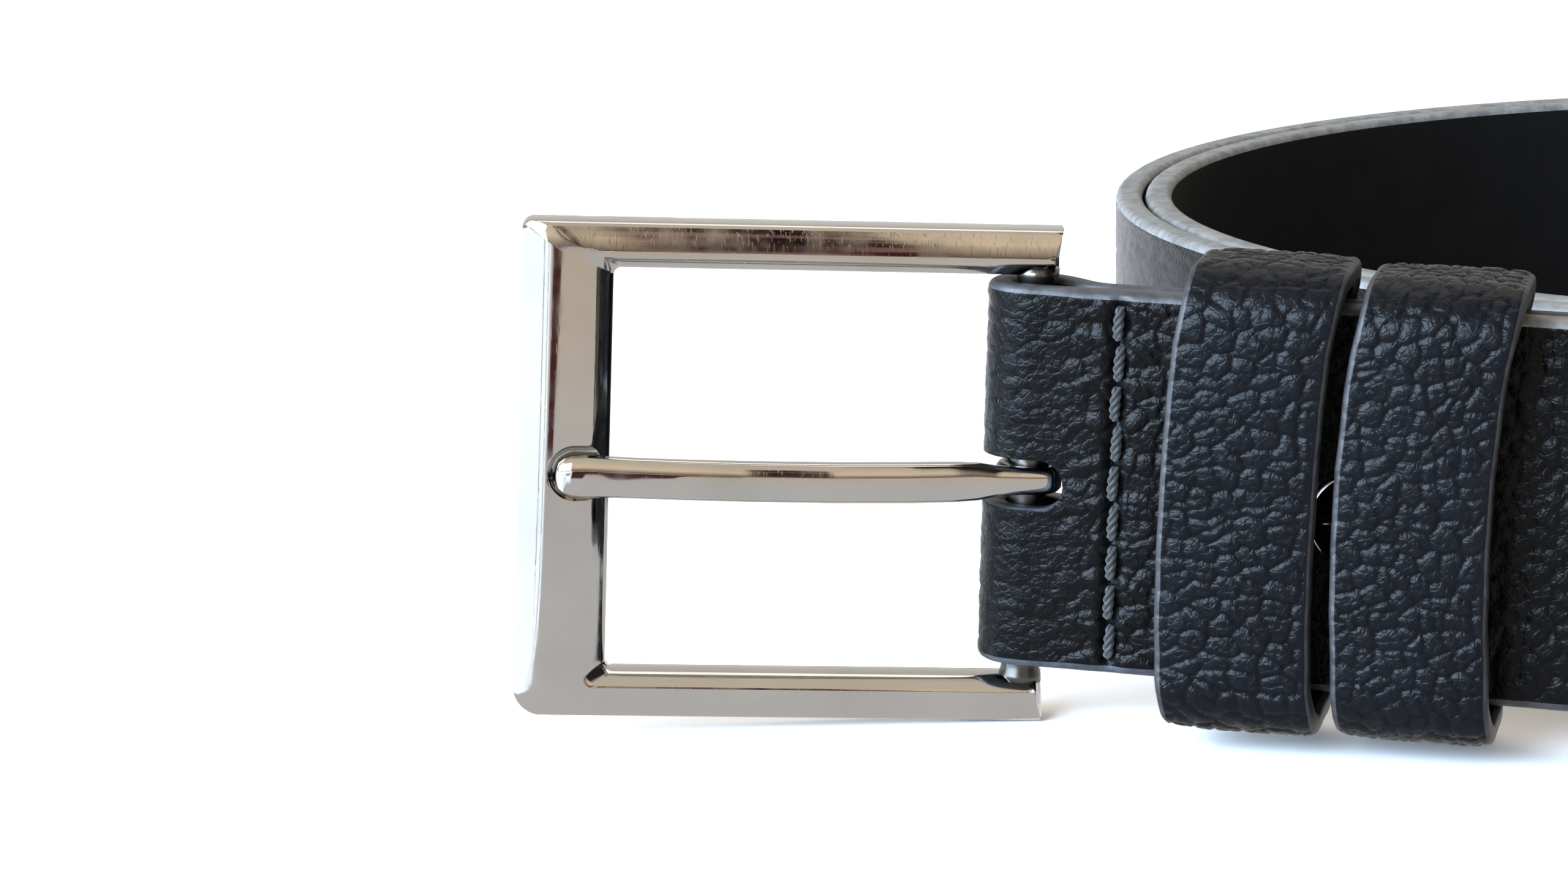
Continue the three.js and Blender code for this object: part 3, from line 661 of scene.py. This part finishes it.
# ---------------------------------------------------------------- stitching
def stitch_row(name, y_hole, y_top, replaced):
    """Row of stitches, each of three strands twisted round one another and diving into holes."""
    points, faces = [], []
    sides, steps = 7, 26
    for k in range(STITCHES):
        z_mid = (k - (STITCHES - 1) / 2) * STITCH_PITCH
        jitter = 0.12 * math.sin(k * 2.7 + 1.0)
        for strand in range(3):
            base = len(points)
            for i in range(steps):
                t = i / (steps - 1)
                z = z_mid + (t - 0.5) * (STITCH_PITCH - 0.35)
                rise = math.sin(math.pi * t) ** 0.45
                y = y_hole + (y_top - y_hole) * rise
                turn = 2 * math.pi * (strand / 3 + 1.35 * t)
                swell = 0.62 + 0.38 * rise
                cx = STITCH_X + jitter + 0.16 * (t - 0.5) + 0.27 * swell * math.cos(turn)
                cy = y + 0.24 * swell * math.sin(turn)
                for j in range(sides):
                    a = 2 * math.pi * j / sides
                    points.append((cx + 0.25 * swell * math.cos(a), cy + 0.25 * swell * math.sin(a), z))
            for i in range(steps - 1):
                for j in range(sides):
                    a = base + i * sides + j
                    b = base + i * sides + (j + 1) % sides
                    faces.append((a, b, b + sides, a + sides))
            faces.append(tuple(range(base, base + sides))[::-1])
            faces.append(tuple(range(base + (steps - 1) * sides, base + steps * sides)))
    obj = mesh_object(name, to_world(FRONT, points), faces, (thread,))
    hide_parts(replaced)
    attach(obj, "strap")


back_face = THICK + GAP + BACK_THICK
stitch_row("stitches_front", 0.95, 0.0, "stitching_front")
stitch_row("stitches_back", back_face - 0.3, back_face + 0.4, "stitching_back")


# ---------------------------------------------------------------- keeper loops
def keeper_loop(index, start, height, seed, size_u, size_v, bow):
    """Closed leather band with grain on its outer face, rounded cut edges and a soft bulge."""
    corner = 4.6
    # mid-line of the band, anticlockwise from the middle of the front wall, as (y, z)
    r = corner - LOOP_THICK / 2
    y0, y1 = LOOP_FRONT + LOOP_THICK / 2, LOOP_BACK - LOOP_THICK / 2
    z1 = height / 2 - LOOP_THICK / 2
    outline = []

    def arc(cy, cz, first, last):
        for a in np.linspace(first, last, 30, endpoint=False):
            outline.append((cy + r * math.cos(a), cz + r * math.sin(a)))

    def run(ya, za, yb, zb):
        count = max(2, int(math.hypot(yb - ya, zb - za) / 0.2))
        for t in np.linspace(0, 1, count, endpoint=False):
            outline.append((ya + (yb - ya) * t, za + (zb - za) * t))

    run(y0, 0, y0, z1 - r)
    arc(y0 + r, z1 - r, math.pi, math.pi / 2)
    run(y0 + r, z1, y1 - r, z1)
    arc(y1 - r, z1 - r, math.pi / 2, 0)
    run(y1, z1 - r, y1, -z1 + r)
    arc(y1 - r, -z1 + r, 0, -math.pi / 2)
    run(y1 - r, -z1, y0 + r, -z1)
    arc(y0 + r, -z1 + r, -math.pi / 2, -math.pi)
    run(y0, -z1 + r, y0, 0)
    line = np.array(outline)
    run_length = np.concatenate([[0], np.cumsum(np.hypot(*np.diff(line, axis=0).T))])
    ahead = np.roll(line, -1, 0) - np.roll(line, 1, 0)
    ahead /= np.linalg.norm(ahead, axis=1)[:, None]
    normal = np.stack([-ahead[:, 1], ahead[:, 0]], 1)
    if normal[0, 0] > 0:
        normal = -normal
    face_count = 56
    radius = 0.55
    half = LOOP_WIDTH / 2
    arc_steps = np.linspace(0, math.pi / 2, 5)[1:-1]
    x_list, n_list, weight_list, slots = [], [], [], []

    def lane(over, out, lift, slot):
        x_list.append(over)
        n_list.append(out)
        weight_list.append(lift)
        slots.append(slot)

    flat = LOOP_THICK / 2 - radius
    reach = half - radius
    for t in np.linspace(-1, 1, face_count):
        lane(t * reach, LOOP_THICK / 2, 1.0 if abs(t) < 0.96 else 0.6, 0)
    for a in arc_steps:
        lane(reach + radius * math.sin(a), flat + radius * math.cos(a), 0.3, 1)
    for t in (1.0, 0.0, -1.0):
        lane(half, t * flat, 0.0, 1)
    for a in arc_steps:
        lane(reach + radius * math.cos(a), -flat - radius * math.sin(a), 0.0, 1)
    for t in np.linspace(1, -1, 7):
        lane(t * reach, -LOOP_THICK / 2, 0.0, 2)
    for a in arc_steps:
        lane(-reach - radius * math.sin(a), -flat - radius * math.cos(a), 0.0, 1)
    for t in (-1.0, 0.0, 1.0):
        lane(-half, t * flat, 0.0, 1)
    for a in arc_steps:
        lane(-reach - radius * math.cos(a), flat + radius * math.sin(a), 0.3, 1)
    x_local = np.array(x_list)
    n_local = np.array(n_list)
    weight = np.array(weight_list)
    u = np.broadcast_to(x_local[None, :], (len(line), len(x_local)))
    v = np.broadcast_to(run_length[:, None], u.shape)
    relief = 0.36 * (pebbles(u + 50, v + 7, size_u, size_v, seed) - 0.6)
    relief = relief + 0.1 * layered_noise(u / 7.0, v / 1.6, seed + 3)
    n = n_local[None, :] + weight[None, :] * relief
    # a slight crown across the band, and the edges wander a little
    n = n + 0.22 * (1 - (u / half) ** 2) * (n_local[None, :] > 0)
    lean = np.interp(line[:, 1], bow[0], bow[1])[:, None]
    x = start + half + u + lean + 0.24 * layered_noise(v / 6.0, u * 0 + seed, seed + 9)
    y = line[:, 0][:, None] + normal[:, 0][:, None] * n
    z = line[:, 1][:, None] + normal[:, 1][:, None] * n + LOOP_LIFT
    points = to_world(FRONT, np.stack([x, y, z], -1).reshape(-1, 3))
    faces = ring_faces(len(line), len(x_local), True)
    face_slots = np.tile(slots, len(line))
    # the cut edges take the darkened edge paint: painted shade
    obj = mesh_object(f"loop_band_{index}", points, faces, (loop_grain, shaded_loop_rim, lining), face_slots)
    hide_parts(f"keeper_loop_{index}")
    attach(obj, f"loop_{index}")


bow_z = (-21, -16, -9, -3, 4, 9.5, 14, 18, 21)
keeper_loop(1, *LOOPS[0], 211, 2.3, 1.75, (bow_z, (0.35, -0.45, -0.7, -0.72, -0.6, -0.3, 0.1, 0.75, 1.25)))
keeper_loop(2, *LOOPS[1], 347, 1.75, 1.75, (bow_z, (0.5, -0.2, -0.6, -0.72, -0.7, -0.35, 0.15, 0.85, 1.3)))


# ---------------------------------------------------------------- buckle frame
RAIL_STEPS, CORNER_STEPS, TOE_STEPS = 46, 14, 60


def frame_outline(inset, radius_top, radius_low):
    """C-shaped line round the frame, from the top rail's heel end to the bottom rail's, at an inset
    of (toe bar, rails) millimetres from the outside."""
    toe, rail = inset
    x0, z1 = TOE_X + toe, FRAME_H / 2 - rail
    line = []
    x_top, z_top = x0 + radius_top, z1 - radius_top
    x_low, z_low = x0 + radius_low, -z1 + radius_low
    for t in np.linspace(0, 1, RAIL_STEPS, endpoint=False):
        line.append((HEEL_X + (x_top - HEEL_X) * t, z1))
    for a in np.linspace(math.pi / 2, math.pi, CORNER_STEPS, endpoint=False):
        line.append((x_top + radius_top * math.cos(a), z_top + radius_top * math.sin(a)))
    for t in np.linspace(0, 1, TOE_STEPS, endpoint=False):
        line.append((x0, z_top + (z_low - z_top) * t))
    for a in np.linspace(math.pi, math.pi * 1.5, CORNER_STEPS, endpoint=False):
        line.append((x_low + radius_low * math.cos(a), z_low + radius_low * math.sin(a)))
    for t in np.linspace(0, 1, RAIL_STEPS):
        line.append((x_low + (HEEL_X - x_low) * t, -z1))
    return np.array(line)


def buckle_frame():
    """Cast frame of toe bar and two rails with the tongue's seat, and the heel bar between the rails."""
    # section from the outside round to the window and back: inset and depth of the toe bar, then of the rails
    profile = [
        (0.0, 1.5, 0.0, 1.5),
        (0.0, 0.6, 0.0, 0.4),
        (0.0, -0.2, 0.0, -0.9),
        (0.08, -0.5, 0.05, -1.3),
        (0.42, -0.85, 0.14, -1.52),
        (0.52, -0.95, 0.2, -1.58),
        (1.0, -1.34, 0.3, -1.66),
        (1.62, -1.78, 0.38, -1.72),
        (1.78, -1.86, 0.45, -1.74),
        (2.2, -2.02, 0.7, -1.83),
        (2.6, -2.12, 1.05, -1.94),
        (3.2, -2.18, 1.5, -2.04),
        (4.2, -2.2, 2.0, -2.12),
        (5.2, -2.17, 2.5, -2.18),
        (6.1, -2.08, 2.82, -2.2),
        (6.5, -2.0, 2.98, -2.19),
        (6.7, -1.88, 3.1, -2.12),
        (7.2, -1.45, 3.5, -1.8),
        (7.9, -0.85, 3.95, -1.36),
        (8.2, -0.5, 4.12, -1.12),
        (8.3, -0.2, 4.2, -0.8),
        (8.3, 0.6, 4.2, 0.6),
        (8.3, 1.5, 4.2, 1.5),
        (8.0, 1.9, 4.05, 1.9),
        (7.4, 2.15, 3.6, 2.15),
        (6.2, 2.2, 3.0, 2.2),
        (4.0, 2.2, 2.0, 2.2),
        (2.0, 2.2, 1.0, 2.2),
        (0.9, 2.1, 0.4, 2.1),
        (0.3, 1.85, 0.1, 1.85),
    ]
    toe_from = RAIL_STEPS + CORNER_STEPS
    toe_to = toe_from + TOE_STEPS
    rings = []
    for toe, toe_y, rail, rail_y in profile:
        share = toe / TOE_BAR
        outline = frame_outline((toe, rail), 1.2 - 0.4 * share, 2.4 - 1.6 * share)
        turn = np.zeros(len(outline))
        turn[RAIL_STEPS:toe_from] = np.linspace(0, 1, CORNER_STEPS)
        turn[toe_from:toe_to] = 1.0
        turn[toe_to : toe_to + CORNER_STEPS] = np.linspace(1, 0, CORNER_STEPS)
        depth = rail_y + (toe_y - rail_y) * turn
        rings.append(np.stack([outline[:, 0], depth, outline[:, 1]], 1))
    grid = np.stack(rings, 1)
    # the rails end in a slanted facet, cut back at the front towards the window
    for row in (0, -1):
        for k, (_, _, rail, y) in enumerate(profile):
            front_share = float(smooth(-y, -1.2, 0.8))
            grid[row, k, 0] -= 1.2 * rail / RAIL_WIDTH * front_share + 0.25 * float(smooth(-y, 0.0, 2.0))
    points = to_world(BUCKLE, grid.reshape(-1, 3))
    body = mesh_object("frame_casting", points, ring_faces(len(grid), len(profile), False), (chrome,))
    # rounded seat for the tongue's tip
    seat = []
    for x in np.linspace(-43.8, -37.0, 30):
        end = max(0.02, min(1.0, (x + 43.8) / 2.6))
        r = 2.65 * math.sqrt(1 - (1 - end) ** 2)
        a = np.linspace(0, 2 * math.pi, 32, endpoint=False)
        seat.append(np.stack([np.full(32, x), -2.6 + 0.62 * r * np.sin(a), r * np.cos(a)], 1))
    subtract(body, [section_tube("seat", [BUCKLE] * len(seat), seat, (chrome,))])
    bevel = body.modifiers.new("bevel", "BEVEL")
    bevel.width = 0.00018
    bevel.segments = 3
    bevel.limit_method = "ANGLE"
    bevel.angle_limit = math.radians(38)
    apply_all(body)
    body.data.polygons.foreach_set("use_smooth", np.full(len(body.data.polygons), True))
    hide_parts("buckle_frame")
    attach(body, "frame")
    # heel bar with flared roots
    sections = []
    for z in np.linspace(-WINDOW_H / 2 - 0.6, WINDOW_H / 2 + 0.6, 60):
        gap = max(0.0, WINDOW_H / 2 - abs(z))
        r = BAR_R + 0.22 * math.exp(-gap / 0.3)
        a = np.linspace(0, 2 * math.pi, 28, endpoint=False)
        sections.append(np.stack([r * np.cos(a), r * np.sin(a), np.full(28, z)], 1))
    # the heel bar takes the darkened nickel: painted shade
    bar = section_tube("heel_bar", [BUCKLE] * len(sections), sections, (shade_painted,))
    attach(bar, "frame")


buckle_frame()


# ---------------------------------------------------------------- tongue
def tongue():
    """Prong of rounded section from a blunt heel in the slot to a rounded tip, and its eye."""
    # stations along the prong: x, depth of the centre, half height, half depth
    stations = [
        (2.0, -2.05, 0.9, 0.75),
        (1.9, -2.05, 1.12, 0.92),
        (1.4, -2.1, 1.2, 0.98),
        (-1.0, -2.3, 1.25, 1.0),
        (-3.2, -2.55, 1.4, 1.02),
        (-5.0, -2.85, 1.72, 1.1),
        (-7.0, -3.2, 1.84, 1.2),
        (-11.0, -3.75, 1.86, 1.25),
        (-18.0, -4.25, 1.85, 1.25),
        (-26.0, -4.3, 1.84, 1.2),
        (-32.0, -4.0, 1.84, 1.15),
        (-36.0, -3.65, 1.84, 1.1),
        (-38.5, -3.35, 1.88, 1.12),
        (-40.5, -3.2, 1.95, 1.15),
        (-41.6, -3.15, 1.86, 1.1),
        (-42.3, -3.12, 1.6, 0.95),
        (-42.8, -3.1, 1.15, 0.7),
        (-43.0, -3.1, 0.4, 0.25),
    ]
    known = np.array(stations)
    x_all = np.concatenate(
        [np.linspace(2.0, -5.0, 20), np.linspace(-5.5, -40.0, 60), np.linspace(-40.3, -43.0, 22)]
    )
    known = known[np.argsort(known[:, 0])]
    centre, half_z, half_y = [np.interp(x_all, known[:, 0], known[:, k]) for k in (1, 2, 3)]
    sections = []
    a = np.linspace(0, 2 * math.pi, 40, endpoint=False)
    # below 1 the section is squarer than an ellipse
    power = 0.72
    cx = np.sign(np.cos(a)) * np.abs(np.cos(a)) ** power
    sx = np.sign(np.sin(a)) * np.abs(np.sin(a)) ** power
    for x, c, hz, hy in zip(x_all, centre, half_z, half_y):
        sections.append(np.stack([np.full(40, x), c + hy * sx, hz * cx], 1))
    prong = section_tube("tongue_prong", [BUCKLE] * len(sections), sections, (chrome,))
    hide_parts("tongue")
    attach(prong, "tongue")
    eye_hole = BAR_R + 0.3
    outline = ((eye_hole, -1.2), (2.75, -1.2), (3.0, -0.9), (3.0, 0.9), (2.75, 1.2), (eye_hole, 1.2))
    rings = []
    for angle in np.linspace(0, 2 * math.pi, 48, endpoint=False):
        rings.append(np.array([(r * math.cos(angle), r * math.sin(angle), z) for r, z in outline]))
    # the eye takes the darkened nickel: painted shade
    eye = section_tube("tongue_eye", [BUCKLE] * len(rings), rings, (shade_painted,), closed=True)
    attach(eye, "tongue")


tongue()


# ---------------------------------------------------------------- screw and post
def turned(name, profile, material, body, replaced, cut=None):
    """Lathe-turned piece about an axis along local y; profile of (radius, y) from front to back."""
    rings = []
    for angle in np.linspace(0, 2 * math.pi, 56, endpoint=False):
        over, rise = math.cos(angle), math.sin(angle)
        rings.append(np.array([(SCREW_X + r * over, y, SCREW_Z + r * rise) for r, y in profile]))
    obj = section_tube(name, [FRONT] * len(rings), rings, (material,), closed=True)
    if cut is not None:
        subtract(obj, [cut])
    obj.data.polygons.foreach_set("use_smooth", np.full(len(obj.data.polygons), True))
    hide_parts(replaced)
    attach(obj, body)


HEAD_R = 4.3
head = [(0.02, -1.35)]
for t in np.linspace(0.1, 1, 14):
    head.append((HEAD_R * t, -0.45 - 0.9 * math.sqrt(1 - (t * 0.97) ** 2)))
head += [(HEAD_R, -0.3), (4.1, -0.22), (1.4, -0.22), (1.4, 4.6), (0.02, 4.6)]
driver_place = FRONT @ Matrix.Translation((SCREW_X * MM, 0, SCREW_Z * MM))
driver_slot = capsule_cutter("driver", driver_place, -2.0, -0.95, -5.2, 5.2, 0.9, chrome)
turned("screw_head", head, chrome, "strap", "screw", driver_slot)
flange = [(0.02, 5.05), (1.9, 5.05), (2.9, 5.1), (3.0, 5.3), (3.0, 5.6), (2.7, 5.78), (0.02, 5.8)]
turned("post_flange", flange, steel, "strap", "screw_post")

for k in (1, 2):
    staple = frame["nodes"][f"keeper_staple_{k}"]
    for place in staple.material_slots:
        place.link = "OBJECT"
        place.material = steel

# ---------------------------------------------------------------- floor and light
floor_mesh = bpy.data.meshes.new("floor")
floor_mesh.from_pydata([(-3, -3, 0), (3, -3, 0), (3, 3, 0), (-3, 3, 0)], [], [(0, 1, 2, 3)])
floor = bpy.data.objects.new("floor", floor_mesh)
bpy.context.scene.collection.objects.link(floor)
floor_material, floor_tree, floor_shader = new_material("floor_white")
floor_shader.inputs["Base Color"].default_value = (0.93, 0.93, 0.93, 1)
floor_shader.inputs["Roughness"].default_value = 0.9
floor_shader.inputs["Specular IOR Level"].default_value = 0.1
floor_mesh.materials.append(floor_material)


def area_light(name, place, aim, size, power, colour):
    """Soft rectangular light at a place, turned towards a point."""
    data = bpy.data.lights.new(name, "AREA")
    data.shape = "RECTANGLE"
    data.size, data.size_y = size
    data.energy = power
    data.color = colour
    obj = bpy.data.objects.new(name, data)
    obj.location = place
    obj.rotation_mode = "QUATERNION"
    obj.rotation_quaternion = (Vector(aim) - Vector(place)).to_track_quat("-Z", "Y")
    obj.visible_camera = False
    bpy.context.scene.collection.objects.link(obj)


def wall_panel(name, first, last, low, high, radius):
    """Curved studio panel round the object between two bearings (degrees from -Y towards +X)."""
    across, tall = 48, 16
    points = []
    for i in range(across + 1):
        bearing = math.radians(first + (last - first) * i / across)
        for k in range(tall + 1):
            climb = math.radians(low + (high - low) * k / tall)
            flat = radius * math.cos(climb)
            points.append((flat * math.sin(bearing), -flat * math.cos(bearing), radius * math.sin(climb)))
    faces = []
    for i in range(across):
        for k in range(tall):
            a = i * (tall + 1) + k
            faces.append((a, a + 1, a + tall + 2, a + tall + 1))
    mesh = bpy.data.meshes.new(name)
    mesh.from_pydata(points, [], faces)
    obj = bpy.data.objects.new(name, mesh)
    bpy.context.scene.collection.objects.link(obj)
    obj.visible_camera = False
    return obj


def band(tree, value, low, high):
    """Soft step from 0 to 1 between two values."""
    made = node(tree, "ShaderNodeMapRange", [("Value", value)], interpolation_type="SMOOTHSTEP")
    made.inputs["From Min"].default_value = low
    made.inputs["From Max"].default_value = high
    return made.outputs[0]


def times(tree, first, second):
    """Product of two values."""
    made = node(tree, "ShaderNodeMath", operation="MULTIPLY")
    tree.links.new(first, made.inputs[0])
    tree.links.new(second, made.inputs[1])
    return made.outputs[0]


def blend_colour(tree, share, first, second):
    """Mix of two colours, each a plain one or a node's output."""
    made = node(tree, "ShaderNodeMix", data_type="RGBA")
    tree.links.new(share, made.inputs[0])
    for socket, value in ((6, first), (7, second)):
        if isinstance(value, tuple):
            made.inputs[socket].default_value = (*value, 1)
        else:
            tree.links.new(value, made.inputs[socket])
    return made.outputs[2]


def glow_material(name):
    """Empty emission material: material, node tree, emission node, object coordinates."""
    material = bpy.data.materials.new(name)
    material.use_nodes = True
    tree = material.node_tree
    tree.nodes.clear()
    out = tree.nodes.new("ShaderNodeOutputMaterial")
    glow = tree.nodes.new("ShaderNodeEmission")
    tree.links.new(glow.outputs[0], out.inputs[0])
    coords = node(tree, "ShaderNodeTexCoord").outputs["Object"]
    return material, tree, glow, coords


def split_bearing(tree, vector):
    """Bearing from -Y towards +X in radians, and height, of a vector."""
    split = node(tree, "ShaderNodeSeparateXYZ", [("Vector", vector)])
    back = node(tree, "ShaderNodeMath", operation="MULTIPLY")
    tree.links.new(split.outputs["Y"], back.inputs[0])
    back.inputs[1].default_value = -1.0
    angle = node(tree, "ShaderNodeMath", operation="ARCTAN2")
    tree.links.new(split.outputs["X"], angle.inputs[0])
    tree.links.new(back.outputs[0], angle.inputs[1])
    return angle.outputs[0], split.outputs["Z"]


def room_material():
    """Warm room in front of the object: beige wall, a dark patch and a wide cool window on the left."""
    material, tree, glow, coords = glow_material("room")
    direction = node(tree, "ShaderNodeVectorMath", [("Vector", coords)], operation="NORMALIZE").outputs[0]
    bearing, z = split_bearing(tree, direction)
    patches = node(tree, "ShaderNodeTexNoise", [("Vector", direction)], in_Scale=14.0)
    wall = ramp_node(
        tree,
        z,
        [
            (0.0, (0.1, 0.08, 0.07)),
            (0.06, (0.5, 0.4, 0.3)),
            (0.25, (1.3, 1.05, 0.76)),
            (0.8, (1.0, 0.88, 0.72)),
        ],
    )
    dark = times(tree, band(tree, bearing, 0.278, 0.29), band(tree, bearing, 0.375, 0.36))
    dark = times(tree, dark, band(tree, z, 0.66, 0.54))
    figure = ramp_node(
        tree,
        patches.outputs["Fac"],
        [
            (0.42, (0.008, 0.008, 0.01)),
            (0.52, (0.07, 0.016, 0.018)),
            (0.6, (0.5, 0.26, 0.22)),
            (0.7, (0.03, 0.05, 0.1)),
        ],
    )
    colour = blend_colour(tree, dark, wall, figure)
    colour = blend_colour(tree, band(tree, bearing, 0.66, 0.95), colour, (0.03, 0.027, 0.027))
    pane = times(tree, band(tree, bearing, -0.1, -0.25), band(tree, bearing, -1.25, -1.1))
    pane = times(tree, pane, times(tree, band(tree, z, 0.02, 0.1), band(tree, z, 0.62, 0.5)))
    colour = blend_colour(tree, pane, colour, (17.0, 21.5, 27.0))
    tree.links.new(colour, glow.inputs["Color"])
    return material


room = wall_panel("room_front", -96, 100, -1.0, 74, 1.5)
room.data.materials.append(room_material())


def sheet_material():
    """Sheet that only reflections show: bright on the window side, grey and warm in front."""
    material, tree, glow, coords = glow_material("sheet_sheen")
    bearing, _ = split_bearing(tree, coords)
    reach = node(tree, "ShaderNodeVectorMath", [("Vector", coords)], operation="LENGTH").outputs["Value"]
    colour = blend_colour(tree, band(tree, reach, 0.08, 0.2), (0.9, 0.9, 0.9), (0.98, 0.86, 0.72))
    streak = times(tree, band(tree, bearing, 0.13, 0.16), band(tree, bearing, 0.352, 0.34))
    streak = times(tree, streak, band(tree, reach, 0.1, 0.115))
    colour = blend_colour(tree, streak, colour, (0.12, 0.04, 0.045))
    colour = blend_colour(tree, band(tree, bearing, 0.12, 0.0), colour, (2.1, 2.35, 2.6))
    for place in (-0.06, -0.3):
        line = times(tree, band(tree, bearing, place - 0.03, place), band(tree, bearing, place + 0.03, place))
        colour = blend_colour(tree, line, colour, (0.12, 0.11, 0.1))
    tree.links.new(colour, glow.inputs["Color"])
    return material


# the sheet lies just above the floor, about a point below the toe bar
sheet_mesh = bpy.data.meshes.new("sheet_sheen")
sheet_mesh.from_pydata(
    [(-1.0, -1.0, 0.0), (1.2, -1.0, 0.0), (1.2, 0.09, 0.0), (-1.0, 0.09, 0.0)], [], [(0, 1, 2, 3)]
)
sheet = bpy.data.objects.new("sheet_sheen", sheet_mesh)
bpy.context.scene.collection.objects.link(sheet)
sheet.location = (-0.125, -0.11, 0.0004)
sheet.visible_camera = False
sheet.visible_diffuse = False
sheet.visible_shadow = False
sheet.data.materials.append(sheet_material())
area_light("top_warm", (0.0, 0.35, 1.2), (0, 0.05, 0), (1.0, 0.8), 4.2, (1.0, 0.9, 0.78))

world = bpy.data.worlds.new("studio")
bpy.context.scene.world = world
world.use_nodes = True
background = world.node_tree.nodes["Background"]
background.inputs["Color"].default_value = (1.0, 0.96, 0.9, 1)
background.inputs["Strength"].default_value = 0.8

bpy.context.scene.view_settings.view_transform = "Standard"
